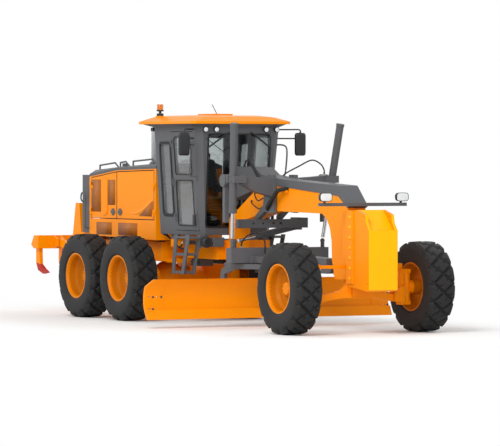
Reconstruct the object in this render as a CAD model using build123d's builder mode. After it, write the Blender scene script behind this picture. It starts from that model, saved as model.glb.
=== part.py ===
from build123d import *

import os
from math import cos, radians, sin

# Motor grader with articulated frame, tandem rear wheels, blade, ripper and push block.

os.makedirs("parts", exist_ok=True)

# Lengths are millimetres. Places along the machine are measured forward from the tandem centre,
# and fore() moves them to the frame, whose origin is on the ground midway between both ends.
wheelbase = 6120.0
front_overhang = 790.0
rear_reach = 3200.0
front_reach = wheelbase + front_overhang
tandem_spacing = 1527.0
fit = 0.3
running_gap = 6.0

# Wheels and tyres
tyre_radius = 675.0
tyre_width = 444.0
tread_width = 380.0
bead_radius = 350.0
flange_radius = 366.0
rim_width = 388.0
flange_width = 12.0
rear_tyre_y = 1082.0
front_tyre_y = 1126.0

# Rear frame, axle and engine
tandem_case_y = (640.0, 800.0)
rail_y = (330.0, 430.0)
rail_z = (930.0, 1240.0)
hitch_x = 1050.0
hitch_radius = 60.0
hitch_plate = 50.0
engine_size = (1400.0, 640.0, 900.0)
engine_x = -800.0
engine_seat = 20.0

# Hood
hood_half = 600.0
hood_wall = 30.0
hood_rear = -1640.0
hood_front = 760.0
hood_bottom = 1310.0
hood_seam_z = 1585.0
hood_seam_x = -630.0
door_gap = 8.0
hinge_knuckle = 13.0
hinge_leaf_width = 56.0
hinge_leaf_depth = 12.0
hinge_height = 55.0
hood_edge_rear = 2270.0
hood_edge_seam = 2378.0
hood_edge_front = 2410.0
exhaust_x = 200.0
exhaust_y = -320.0
exhaust_radius = 65.0
exhaust_pad = 15.0
cover_rear = 2290.0
cover_front = 2500.0

# Cab: half widths at heights, wall, glass
cab_rear = 1000.0
cab_floor_z = 1380.0
cab_top_z = 3070.0
cab_half_low = 630.0
cab_half_high = 745.0
cab_front_low = 2350.0
cab_front_high = 2470.0
cab_wall = 60.0
glass_thickness = 8.0
door_rear_x = 1570.0
door_front_x = 2285.0
door_low_z = 1450.0
door_high_z = 2990.0
door_belt_z = 2280.0
roof_front = 2567.0
roof_rear = 660.0
roof_half = 880.0
eave_z = 3120.0
roof_top_z = 3250.0
roof_corner = 60.0
beacon_place = (1090.0, -690.0)
beacon_top_z = 3430.0

# Front frame and gooseneck
neck_half = 150.0
neck_wall_z = 1776.0
leg_low_z = 790.0
push_half = 243.0
push_rear = wheelbase + 95.0
push_low_z = 640.0
push_high_z = 1535.0
push_wall = 40.0

# Front axle, lean and steering
axle_beam_z = 520.0
lean_pivot_y = 660.0
kingpin_y = 850.0
kingpin_radius = 45.0
kingpin_low_z = 470.0
kingpin_high_z = 880.0
lean_bar_z = 985.0
lean_bar_x = wheelbase + 51.0

# Blade, circle and drawbar
blade_length = 4270.0
blade_low_z = 134.0
blade_high_z = 745.0
blade_edge_x = 3520.0
blade_radius = 413.0
blade_thickness = 25.0
circle_x = 3440.0
circle_radius = 700.0
circle_z = (890.0, 970.0)
ball_x = wheelbase - 600.0
ball_z = 930.0
ball_radius = 75.0

# Lift and shift cylinders: where they hang and where they hold the drawbar
lift_top = (3868.0, 861.0, 2260.0)
lift_eye = (3704.0, 789.0, 1315.0)
lift_head_z = 3110.0
barrel_radius = 58.0
lift_rod_radius = 30.0
lift_ball_radius = 36.0
lift_rod_trim = 52.0
shift_top = (3210.0, 600.0, 1525.0)
link_z = (1605.0, 1665.0)
link_bar_z = (1510.0, 1645.0)
link_x = (3385.0, 3475.0)
shift_rod_slack = 28.0
shift_eye = (3240.0, -500.0, 1300.0)
shift_barrel_length = 745.0
shift_rod_start = 375.0
shift_barrel_radius = 50.0
shift_rod_radius = 26.0
shift_ball_radius = 40.0

# Ripper
ripper_half = 930.0
ripper_beam_x = (-3090.0, -2930.0)
ripper_beam_z = (1060.0, 1280.0)
ripper_hinge = (-2180.0, 1040.0)
ripper_hang = (-2850.0, 1165.0)
ripper_eye = (-2660.0, 1130.0)
ripper_top = (-2235.0, 1600.0)

tandem_x = (rear_reach - front_reach) / 2
sides = {"right": -1, "left": 1}


def fore(x):
    """Place in the frame of a distance forward from the tandem centre."""
    return tandem_x + x


def at(x, y, z):
    """Point in the frame, x forward from the tandem centre."""
    return Vector(fore(x), y, z)


def block(x, y, z, mode=Mode.ADD):
    """Block between two places on each axis, given in rising order."""
    with Locations(at((x[0] + x[1]) / 2, (y[0] + y[1]) / 2, (z[0] + z[1]) / 2)):
        Box(x[1] - x[0], y[1] - y[0], z[1] - z[0], mode=mode)


def side_plate(outline, y, mode=Mode.ADD):
    """Side outline of (forward, height) points, as thick as from y[0] to y[1]."""
    with BuildSketch(Plane.XZ.offset(-y[1])) as face:
        with BuildLine():
            Polyline([(fore(x), z) for x, z in outline], close=True)
        make_face()
    extrude(face.sketch, amount=y[1] - y[0], mode=mode)


def flat_plate(outline, z, mode=Mode.ADD):
    """Plan outline of (forward, sideways) points, as thick as from z[0] to z[1]."""
    with BuildSketch(Plane.XY.offset(z[0])) as face:
        with BuildLine():
            Polyline([(fore(x), y) for x, y in outline], close=True)
        make_face()
    extrude(face.sketch, amount=z[1] - z[0], mode=mode)


def cross_plate(outline, x, mode=Mode.ADD):
    """Front outline of (sideways, height) points, as thick as from x[0] to x[1]."""
    with BuildSketch(Plane(origin=(fore(x[0]), 0, 0), x_dir=(0, 1, 0), z_dir=(1, 0, 0))) as face:
        with BuildLine():
            Polyline(outline, close=True)
        make_face()
    extrude(face.sketch, amount=x[1] - x[0], mode=mode)


def bar(start, end, radius, mode=Mode.ADD, start_trim=0.0, end_trim=0.0):
    """Round bar from start to end, which are points of at(), shortened at its ends."""
    way = (end - start).normalized()
    foot = start + way * start_trim
    length = (end - start).length - start_trim - end_trim
    with BuildSketch(Plane(origin=foot, z_dir=way)) as face:
        Circle(radius)
    extrude(face.sketch, amount=length, mode=mode)


def tube(points, radius):
    """Bent round bar through points: straight runs joined by balls of its own radius."""
    for start, end in zip(points, points[1:]):
        bar(start, end, radius)
    for knee in points[1:-1]:
        with Locations(knee):
            Sphere(radius)


def turned(centre, outline, side):
    """Turns an outline of (outboard, radius) points round the wheel axle at centre."""
    across = (0, side, 0)
    with BuildSketch(Plane(origin=centre, x_dir=across, z_dir=(side, 0, 0))) as face:
        with BuildLine():
            Polyline(outline, close=True)
        make_face()
    revolve(face.sketch, axis=Axis(centre, across))


def hinge_leaf(foot, lean, side, toward, low, high):
    """Leaf and half knuckle of a hinge on a wall's outer face. The hinge axis stands off the face
    by its own radius, foot is where the axis' foot lies on the face, lean is the axis' direction,
    toward is 1 for a leaf that runs forward and -1 for one that runs back."""
    face = Plane(origin=foot, x_dir=(1, 0, 0), z_dir=lean)
    middle = (low + high) / 2
    with Locations(face):
        with Locations((0, side * (hinge_knuckle + fit), middle)):
            Cylinder(hinge_knuckle, high - low)
        with Locations((toward * (hinge_leaf_width / 2 + 3), side * (hinge_leaf_depth / 2 - 2), middle)):
            Box(hinge_leaf_width, hinge_leaf_depth, high - low)
        with Locations((toward * 8, side * (hinge_leaf_depth - 4), middle)):
            Box(16, 8, high - low)


def lug_ring(centre, start_angle, across):
    """Ring of tread lugs round a wheel's axle, between two distances sideways from its centre."""
    pitch = 360.0 / lug_count
    corners = []
    for lug in range(lug_count):
        foot = start_angle + lug * pitch
        tip = foot + lug_share * pitch
        for angle, radius in ((foot, groove_radius - 6), (foot, tyre_radius), (tip, tyre_radius), (tip, groove_radius - 6)):
            corners.append((radius * cos(radians(angle)), radius * sin(radians(angle))))
    plane = Plane(origin=centre + Vector(0, across[1], 0), x_dir=(1, 0, 0), z_dir=(0, -1, 0))
    with BuildSketch(plane) as face:
        with BuildLine():
            Polyline(corners, close=True)
        make_face()
        Circle(groove_radius - 58, mode=Mode.SUBTRACT)
    extrude(face.sketch, amount=across[1] - across[0])


def save(part, label):
    """Labels a finished piece and writes it under its node's name."""
    part.label = label
    export_step(part, f"parts/{label}.step")


# Wheels: centre forward of the tandem centre, half track, and how far the hub reaches inboard.
# A wheel's place is turned about the axle, with positive outboard.
wheel_table = [
    # name, forward, tyre centre sideways, hub reach inboard
    ("rear", -tandem_spacing / 2, rear_tyre_y, rear_tyre_y - tandem_case_y[1] - fit),
    ("middle", tandem_spacing / 2, rear_tyre_y, rear_tyre_y - tandem_case_y[1] - fit),
    ("front", wheelbase, front_tyre_y, front_tyre_y - kingpin_y - kingpin_radius - 40.0 - fit),
]
bead_half = rim_width / 2 - flange_width - fit
lug_count = 15
lug_height = 22.0
lug_share = 0.58
groove_radius = tyre_radius - lug_height
tyre_outline = [
    (bead_half, bead_radius + fit),
    (bead_half, flange_radius + 6),
    (tyre_width / 2 - 24, flange_radius + 16),
    (tyre_width / 2, (flange_radius + tyre_radius) / 2),
    (tread_width / 2 + 4, groove_radius - 38),
    (tread_width / 2 - 12, groove_radius - 8),
    (tread_width / 4, groove_radius),
]
tyre_outline = tyre_outline + [(-a, r) for a, r in reversed(tyre_outline)]
disc_outline = [
    # outboard side from flange to axle
    (rim_width / 2, flange_radius),
    (rim_width / 2, flange_radius - 22),
    (rim_width / 2 - 30, flange_radius - 34),
    (60, flange_radius - 52),
    (20, flange_radius - 90),
    (0, 150),
    (12, 110),
]
for name, forward, sideways, hub_reach in wheel_table:
    cap = [(60, 92), (70, 70), (70, 0)] if name == "front" else [(12, 0)]
    inboard = [
        (-hub_reach, 0),
        (-hub_reach, 105),
        (-45, 105),
        (-45, 160),
        (-20, flange_radius - 80),
        (-rim_width / 2 + 30, flange_radius - 36),
        (-rim_width / 2, flange_radius - 22),
        (-rim_width / 2, flange_radius),
        (-rim_width / 2 + flange_width, flange_radius),
        (-rim_width / 2 + flange_width, bead_radius),
        (rim_width / 2 - flange_width, bead_radius),
        (rim_width / 2 - flange_width, flange_radius),
    ]
    for side_name, side in sides.items():
        centre = at(forward, side * sideways, tyre_radius)
        with BuildPart() as tyre:
            turned(centre, tyre_outline, side)
            lug_ring(centre, -90.0, (8.0, tread_width / 2 + 14))
            lug_ring(centre, -90.0 + 180.0 / lug_count, (-tread_width / 2 - 14, -8.0))
        save(tyre.part, f"tyre_{name}_{side_name}")
        with BuildPart() as rim:
            turned(centre, disc_outline + cap + inboard, side)
        save(rim.part, f"rim_{name}_{side_name}")

# Rear frame: two rails, cross members, the hitch plates of the articulation, bumper and ripper brackets
hitch_z = [(rail_z[0] - 20.0, rail_z[0] + hitch_plate), (rail_z[1] - hitch_plate, rail_z[1] + 20.0)]
hinge_x, hinge_z = ripper_hinge
with BuildPart() as rear_frame:
    for side in sides.values():
        inner, outer = sorted((side * rail_y[0], side * rail_y[1]))
        side_plate(
            [(-2150, rail_z[0]), (640, rail_z[0]), (640, rail_z[1]), (-2150, rail_z[1])], (inner, outer)
        )
    for x0, x1 in [(-2200, -2080), (-1500, -1400), (-60, 60), (520, 640)]:
        block((x0, x1), (-rail_y[1], rail_y[1]), (rail_z[0] + 20, rail_z[1] - engine_seat))
    for low, high in hitch_z:
        flat_plate([(600, -350), (980, -130), (1130, -90), (1130, 90), (980, 130), (600, 350)], (low, high))
    bar(at(hitch_x, 0, rail_z[0] - 40), at(hitch_x, 0, rail_z[1] + 40), hitch_radius)
    # radiator stand, bumper, and one ripper mast each side with its hinge pin
    block((-2080, hood_rear - 20), (-560, 560), (rail_z[1] - 60, hood_bottom + 40))
    for side in sides.values():
        mast = [(-2100, 940), (-2100, 1300), (-2170, 1830), (-2310, 1830), (-2420, 1290), (-2300, 960)]
        side_plate(mast, sorted((side * 470.0, side * 530.0)))
        bar(at(hinge_x, side * 470, hinge_z), at(hinge_x, side * 620, hinge_z), 32)
    block((-2200, -2080), (-530, 530), (960, 1200))
    # cylinder bracket with its pin
    for side in sides.values():
        lug = [(-2100, 1180), (-2100, 1300), (-2180, 1650), (-2290, 1650), (-2290, 1550), (-2190, 1190)]
        side_plate(lug, sorted((side * 62.0, side * 92.0)))
    bar(at(ripper_top[0], -92, ripper_top[1]), at(ripper_top[0], 92, ripper_top[1]), 28)
save(rear_frame.part, "rear_frame")

# Rear axle: banjo housing under the rails and a tandem case each side, with its hub noses
case_outline = [(-980, 560), (-860, 480), (860, 480), (980, 560), (980, 790), (860, 870), (-860, 870), (-980, 790)]
with BuildPart() as rear_axle:
    bar(at(0, -tandem_case_y[0], tyre_radius), at(0, tandem_case_y[0], tyre_radius), 150)
    with Locations(at(0, 0, tyre_radius)):
        Sphere(250)
    for side in sides.values():
        inner, outer = sorted((side * tandem_case_y[0], side * tandem_case_y[1]))
        side_plate(case_outline, (inner, outer))
        stand = sorted((side * rail_y[0], side * rail_y[1]))
        block((-150, 150), stand, (tyre_radius, rail_z[0] - fit))
save(rear_axle.part, "rear_axle")

with BuildPart() as engine_block:
    with Locations(at(engine_x, 0, rail_z[1] - engine_seat + fit + engine_size[2] / 2)):
        Box(*engine_size)
    for x in (engine_x - 450, engine_x + 450):
        for side in sides.values():
            foot = sorted((side * engine_size[1] / 2, side * rail_y[1]))
            block((x - 50, x + 50), foot, (rail_z[1] + fit, rail_z[1] + 90))
save(engine_block.part, "engine_block")

# Hood shell: side sheets with two door openings each, lower panels with grilles, and the front bulkhead
hood_edges = [(hood_rear, hood_edge_rear), (hood_seam_x, hood_edge_seam), (hood_front, hood_edge_front)]


def along(line, x):
    """Height at x of a line through (forward, height) points, straight on past its ends."""
    (x0, z0), (x1, z1) = line[:2] if x < line[1][0] else line[-2:]
    return z0 + (z1 - z0) * (x - x0) / (x1 - x0)


def hood_edge(x):
    """Height of the hood's orange side sheet at a place along it."""
    return along(hood_edges, x)


# Upper hood doors: each between a rear and a front edge, hinged at the edge away from the seam
hood_doors = {
    "rear": (hood_rear + 75, hood_seam_x - door_gap / 2),
    "front": (hood_seam_x + door_gap / 2, hood_front - 60),
}
door_sill = hood_seam_z + 10
door_head_drop = 24.0
hood_hinges = {
    # hinge axis forward, way the door's leaf runs
    "rear": (hood_rear + 75 - door_gap / 2, 1),
    "front": (hood_front - 60 + door_gap / 2, -1),
}
hood_hinge_z = (door_sill + 50, door_sill + 485)
upright = (0, 0, 1)


def hood_door_outline(x0, x1, grow):
    """Outline of a hood door between x0 and x1, larger by grow all round."""
    return [
        (x0 - grow, door_sill - grow),
        (x1 + grow, door_sill - grow),
        (x1 + grow, hood_edge(x1) - door_head_drop + grow),
        (x0 - grow, hood_edge(x0) - door_head_drop + grow),
    ]


lower_grilles = [(-1363, -829), (-563, 95)]
with BuildPart() as hood_shell:
    for side in sides.values():
        wall = sorted((side * (hood_half - hood_wall), side * hood_half))
        sheet = [
            (hood_rear, hood_bottom),
            (hood_front, hood_bottom - 40),
            *reversed(hood_edges),
        ]
        side_plate(sheet, wall)
        for x0, x1 in hood_doors.values():
            side_plate(hood_door_outline(x0, x1, door_gap), wall, mode=Mode.SUBTRACT)
        for hinge, toward in hood_hinges.values():
            for z in hood_hinge_z:
                foot = at(hinge, side * hood_half, z)
                hinge_leaf(foot, upright, side, -toward, hinge_height + fit, 2 * hinge_height)
        # lower grilles, below the seam
        for x0, x1 in lower_grilles:
            for row in range(4):
                low = 1335 + row * 48
                block((x0, x1), wall, (low, low + 26), mode=Mode.SUBTRACT)
    bulkhead = [
        (-hood_half, hood_bottom - 40),
        (hood_half, hood_bottom - 40),
        (hood_half, hood_edge(hood_front - hood_wall)),
        (-hood_half, hood_edge(hood_front - hood_wall)),
    ]
    cross_plate(bulkhead, (hood_front - hood_wall, hood_front))
    # feet on the frame rails
    for x in (hood_rear + 60, 300):
        for side in sides.values():
            foot = sorted((side * rail_y[0], side * (hood_half - hood_wall)))
            block((x - 40, x + 40), foot, (rail_z[1] + fit, hood_bottom + 30))
            post = sorted((side * (hood_half - hood_wall - 30), side * (hood_half - hood_wall)))
            block((x - 40, x + 40), post, (rail_z[1] + fit, hood_seam_z - 30))
save(hood_shell.part, "hood_shell")

latch_offset = 127.0
bulge_x = -1068.0
bulge_z = (1752.0, 2150.0)
bulge_radius = 108.0
slot_height = 28.0
slot_pitch = 48.0
door_screens = {
    # rear edge, front edge, low and high edge of each slotted screen
    "rear": [(-1535, -1222, 1715, 2215), (-945, -700, 1827, 2215)],
    "front": [(190 + 110 * row, 660, 1655 + slot_pitch * row, 1655 + slot_pitch * (row + 1)) for row in range(5)],
}
for where, (x0, x1) in hood_doors.items():
    for side_name, side in sides.items():
        wall = sorted((side * (hood_half - hood_wall + 4), side * hood_half))
        skin = sorted((side * hood_half, side * (hood_half + 14)))
        with BuildPart() as hood_door:
            side_plate(hood_door_outline(x0, x1, 0), wall)
            hinge, toward = hood_hinges[where]
            for z in hood_hinge_z:
                hinge_leaf(at(hinge, side * hood_half, z), upright, side, toward, 0, hinge_height)
            # flush latch beside the seam
            latch_x = hood_seam_x + latch_offset * (-1 if where == "rear" else 1)
            block((latch_x - 70, latch_x + 70), skin, (1680, 1730))
            block((latch_x - 35, latch_x + 35), skin, (1650, 1760))
            for s0, s1, low, high in door_screens[where]:
                for row in range(int((high - low) / slot_pitch)):
                    z = low + row * slot_pitch
                    block((s0, s1), wall, (z, z + slot_height), mode=Mode.SUBTRACT)
            if where == "rear":
                # upright bulge with round ends between the screens
                block((bulge_x - bulge_radius, bulge_x + bulge_radius), skin, bulge_z)
                for z in bulge_z:
                    bar(at(bulge_x, skin[0], z), at(bulge_x, skin[1], z), bulge_radius)
        save(hood_door.part, f"hood_door_{where}_{side_name}")

# Hood top: grey cover over the full width, bevelled along its edges, with hand rails
cover_stations = [
    # forward, height of the flat top
    (hood_rear, cover_rear + 90),
    (hood_seam_x, cover_front - 58),
    (hood_front, cover_front),
]
cover_bevel = 110.0
cover_rim = 45.0


def cover_section(x, top, inset, drop):
    """Cross section of the hood cover at a place along it, moved in by inset and down by drop."""
    edge = hood_edge(x) + fit - drop
    half = hood_half - inset
    outline = [
        (-half, edge),
        (half, edge),
        (half, hood_edge(x) + cover_rim),
        (half - cover_bevel, top - inset),
        (-half + cover_bevel, top - inset),
        (-half, hood_edge(x) + cover_rim),
    ]
    with BuildSketch(Plane(origin=(fore(x), 0, 0), x_dir=(0, 1, 0), z_dir=(1, 0, 0))) as section:
        with BuildLine():
            Polyline(outline, close=True)
        make_face()
    return section.sketch


rail_table = [
    # rear foot, front foot, height over the cover
    (-1554, -846, 82),
    (-800, -456, 82),
    (-336, 492, 82),
]
rail_side = hood_half - cover_bevel - 40
rail_bar = 14.0
rail_slant = 150.0


def cover_height(x):
    """Height of the cover's flat top at a place along it."""
    return along(cover_stations, x)


with BuildPart() as hood_top:
    loft([cover_section(x, top, 0, 0) for x, top in cover_stations], ruled=True)
    skin = 28.0
    ends = [(x + shift, top) for (x, top), shift in zip(cover_stations, (skin, 0, -skin))]
    loft([cover_section(x, top, skin, 20) for x, top in ends], ruled=True, mode=Mode.SUBTRACT)
    for x0, x1, rise in rail_table:
        for side in sides.values():
            y = side * rail_side
            low0, low1 = cover_height(x0) - 10, cover_height(x1) - 10
            knee = x1 - rail_slant
            feet = [at(x0, y, low0), at(x0, y, low0 + rise), at(knee, y, low1 + rise), at(x1, y, low1)]
            tube(feet, rail_bar)
    # level pad under the exhaust, and the filler cap between the rails
    pad_top = cover_height(exhaust_x) + exhaust_pad
    bar(at(exhaust_x, exhaust_y, pad_top - 40), at(exhaust_x, exhaust_y, pad_top), exhaust_radius + 35)
    cap = at(hood_seam_x, -rail_side, cover_height(hood_seam_x))
    bar(cap - Vector(0, 0, 10), cap + Vector(0, 0, 50), 45)
save(hood_top.part, "hood_top")

# Radiator housing at the very back, with its columns, roof and louvred grille
with BuildPart() as radiator_housing:
    block((-1930, hood_rear - fit), (-hood_half, hood_half), (hood_bottom + 45, hood_edge_rear + 30))
    block((-1960, -1700), (-hood_half + 90, hood_half - 90), (hood_bottom + 130, 2160), mode=Mode.SUBTRACT)
    block((-1700, hood_rear), (-hood_half + 60, hood_half - 60), (hood_bottom + 130, 2160), mode=Mode.SUBTRACT)
    for row in range(11):
        z = hood_bottom + 165 + row * 62
        block((-1900, -1850), (-hood_half + 90, hood_half - 90), (z, z + 24))
    for y in (-170, 170):
        block((-1850, -1830), (y - 15, y + 15), (hood_bottom + 130, 2160))
    chamfer(radiator_housing.edges().filter_by(Axis.Z).group_by(Axis.X)[0], 25)
save(radiator_housing.part, "radiator_housing")

with BuildPart() as exhaust_stack:
    foot_z = cover_height(exhaust_x) + exhaust_pad + fit
    bar(at(exhaust_x, exhaust_y, foot_z), at(exhaust_x, exhaust_y, foot_z + 25), exhaust_radius + 25)
    bar(at(exhaust_x, exhaust_y, foot_z), at(exhaust_x, exhaust_y, 3030), exhaust_radius)
    bar(at(exhaust_x, exhaust_y, 2950), at(exhaust_x, exhaust_y, 3031), exhaust_radius - 6, mode=Mode.SUBTRACT)
save(exhaust_stack.part, "exhaust_stack")

# Ripper: lower arms hinged under the masts, a beam with its shanks on them, and one cylinder.
# The beam hangs on the arms as on one side of a parallelogram, so it stays level.
arm_y = (545.0, 595.0)
hinge_x, hinge_z = ripper_hinge
hang_x, hang_z = ripper_hang
ripper_pin = 32.0
with BuildPart() as ripper_arms:
    for side in sides.values():
        arm = sorted((side * arm_y[0], side * arm_y[1]))
        outline = [
            (hinge_x + 60, hinge_z - 60),
            (hinge_x + 60, hinge_z + 60),
            (hinge_x - 60, hinge_z + 80),
            (hang_x + 40, hang_z + 70),
            (hang_x - 48, hang_z + 50),
            (hang_x - 48, hang_z - 50),
            (hang_x + 60, hang_z - 70),
            (hinge_x - 60, hinge_z - 75),
        ]
        side_plate(outline, arm)
        for x, z in (ripper_hinge, ripper_hang):
            bar(at(x, arm[0] - 1, z), at(x, arm[1] + 1, z), ripper_pin + fit, mode=Mode.SUBTRACT)
    eye_x, eye_z = ripper_eye
    bar(at(eye_x, -arm_y[1], eye_z), at(eye_x, arm_y[1], eye_z), 45)
save(ripper_arms.part, "ripper_arms")

shank_outline = [
    # forward from the beam's rear face, height
    (-40, ripper_beam_z[1] - 60),
    (-40, 830),
    (30, 700),
    (230, 640),
    (390, 665),
    (250, 720),
    (105, 800),
    (80, ripper_beam_z[1] - 60),
]
with BuildPart() as ripper_beam:
    beam_x0, beam_x1 = ripper_beam_x
    beam_z0, beam_z1 = ripper_beam_z
    nose = [(-rear_reach, beam_z0 + 60), (beam_x0, beam_z0), (beam_x1, beam_z0), (beam_x1, beam_z1), (beam_x0, beam_z1)]
    side_plate(nose, (-ripper_half, ripper_half))
    for y in (-840, -420, 0, 420, 840):
        side_plate([(beam_x0 + x, z) for x, z in shank_outline], (y - 30, y + 30))
    # hanger lugs either side of each arm, with the pin between them
    for side in sides.values():
        for inner in (arm_y[0] - 45, arm_y[1] + 10):
            lug = sorted((side * inner, side * (inner + 35)))
            side_plate([(beam_x1 - 10, beam_z0), (beam_x1 - 10, beam_z1), (hang_x + 60, hang_z + 60), (hang_x + 60, hang_z - 60)], lug)
        bar(at(hang_x, side * (arm_y[0] - 20), hang_z), at(hang_x, side * (arm_y[1] + 20), hang_z), ripper_pin)
save(ripper_beam.part, "ripper_beam")

# Ripper cylinder from the bracket on the rear frame down to the cross tube of the arms
ripper_top_point = at(ripper_top[0], 0, ripper_top[1])
ripper_eye_point = at(ripper_eye[0], 0, ripper_eye[1])
ripper_rod_end = 45.0 + fit
with BuildPart() as ripper_cylinder:
    bar(at(ripper_top[0], -40, ripper_top[1]), at(ripper_top[0], 40, ripper_top[1]), 55)
    bar(ripper_top_point, ripper_eye_point, 52, end_trim=190)
    bar(ripper_top_point, ripper_eye_point, 27 + fit, start_trim=120, end_trim=180, mode=Mode.SUBTRACT)
    bar(at(ripper_top[0], -60, ripper_top[1]), at(ripper_top[0], 60, ripper_top[1]), 28 + fit, mode=Mode.SUBTRACT)
save(ripper_cylinder.part, "ripper_cylinder")

with BuildPart() as ripper_rod:
    bar(ripper_top_point, ripper_eye_point, 27, start_trim=180, end_trim=ripper_rod_end)
save(ripper_rod.part, "ripper_rod")

# Front frame: box under the cab with the hitch lug, gooseneck over the blade and the front leg
axle_pin_z = 640.0
axle_pin = 50.0
leg_front = wheelbase + 10.0
beam_x = (wheelbase - 70, wheelbase + 45)
brow_x = wheelbase - 270.0
push_top_x = wheelbase + 440.0
neck_outline = [
    # underside from the cab forward, then the leg, the nose and the top back to the cab
    (2350, 1000),
    (2480, 1020),
    (2560, 1560),
    (3600, 1752),
    (3890, neck_wall_z),
    (wheelbase - 770, neck_wall_z - 18),
    (wheelbase - 620, 1680),
    (wheelbase - 530, 1540),
    (wheelbase - 480, 1360),
    (wheelbase - 465, 1080),
    (wheelbase - 380, leg_low_z),
    (push_rear - 2, leg_low_z),
    (push_rear - 2, leg_low_z + 100),
    (leg_front, leg_low_z + 100),
    (leg_front, 1850),
    (brow_x, 2025),
    (4240, 2140),
    (3470, 2190),
    (3250, 2080),
    (2600, 1740),
    (2400, 1640),
    (2400, 1300),
    (2350, 1300),
]
lug_z = (rail_z[0] + hitch_plate + running_gap, rail_z[1] - hitch_plate - running_gap)
with BuildPart() as front_frame:
    side_plate(neck_outline, (-neck_half, neck_half))
    block((1290, 2360), (-330, 330), (1000, 1300))
    block((1290, 1420), (-600, 600), (1180, 1300))
    block((2230, 2350), (-600, 600), (1180, 1300))
    flat_plate([(970, -90), (1300, -260), (1300, 260), (970, 90)], lug_z)
    bar(at(hitch_x, 0, rail_z[0]), at(hitch_x, 0, rail_z[1]), hitch_radius + fit, mode=Mode.SUBTRACT)
    # ball cup of the drawbar behind the leg, and the ears of the axle pin below it
    block((ball_x + 25, ball_x + 240), (-60, 60), (ball_z - 90, ball_z + 90))
    with Locations(at(ball_x, 0, ball_z)):
        Sphere(ball_radius + fit, mode=Mode.SUBTRACT)
    for x0, x1 in [(beam_x[0] - 90, beam_x[0] - running_gap), (beam_x[1] + running_gap, push_rear - 2)]:
        block((x0, x1), (-110, 110), (axle_pin_z - 90, leg_low_z + 20))
        bar(at(x0 - 1, 0, axle_pin_z), at(x1 + 1, 0, axle_pin_z), axle_pin + fit, mode=Mode.SUBTRACT)
save(front_frame.part, "front_frame")

# Grey cover along the gooseneck's top, with turned-down sides
light_bar_z = (1880.0, 1930.0)
head_lamp_y = 649.0
cover_line = [(2520, 1930), (3250, 2095), (3470, 2190), (4240, 2140), (brow_x, 2025), (leg_front, 1850)]
cover_top = [
    (leg_front + 55, 1880),
    (brow_x + 20, 2180),
    (4240, 2256),
    (3760, 2300),
    (3480, 2330),
    (3250, 2440),
    (2520, 2455),
]
light_bar_x = wheelbase + 187.0
with BuildPart() as neck_cover:
    lifted = [(x, z + fit) for x, z in cover_line]
    side_plate(lifted + cover_top, (-neck_half - 12, neck_half + 12))
    # light bar across the cover, with a stalk under each head lamp
    block((light_bar_x - 25, light_bar_x + 25), (-740, 740), light_bar_z)
    for side in sides.values():
        y = side * head_lamp_y
        block((light_bar_x - 12, light_bar_x + 12), (y - 15, y + 15), (light_bar_z[1], light_bar_z[1] + 20))
    block((leg_front - 20, light_bar_x), (-60, 60), (light_bar_z[0], light_bar_z[0] + 25))
save(neck_cover.part, "neck_cover")

# Front axle: arched beam with its pivot pin in the leg's ears, and an eye at each end
beam_eye = 46.0
beam_outline = [
    # sideways, height: half of the beam, mirrored below
    (0, axle_pin_z - 120),
    (260, axle_pin_z - 120),
    (lean_pivot_y - 60, axle_beam_z - beam_eye),
    (lean_pivot_y + beam_eye - 6, axle_beam_z - beam_eye),
    (lean_pivot_y + beam_eye - 6, axle_beam_z + beam_eye),
    (lean_pivot_y - 60, axle_beam_z + beam_eye),
    (260, axle_pin_z - 5),
    (120, axle_pin_z + 100),
    (0, axle_pin_z + 100),
]
pivot_pin = 30.0
with BuildPart() as front_axle:
    whole = beam_outline + [(-y, z) for y, z in reversed(beam_outline[1:-1])]
    cross_plate(whole, beam_x)
    bar(at(beam_x[0] - 88, 0, axle_pin_z), at(push_rear - 3, 0, axle_pin_z), axle_pin)
    for side in sides.values():
        eye = side * lean_pivot_y
        bar(at(beam_x[0] - 1, eye, axle_beam_z), at(beam_x[1] + 1, eye, axle_beam_z), pivot_pin + fit, mode=Mode.SUBTRACT)
save(front_axle.part, "front_axle")

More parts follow.
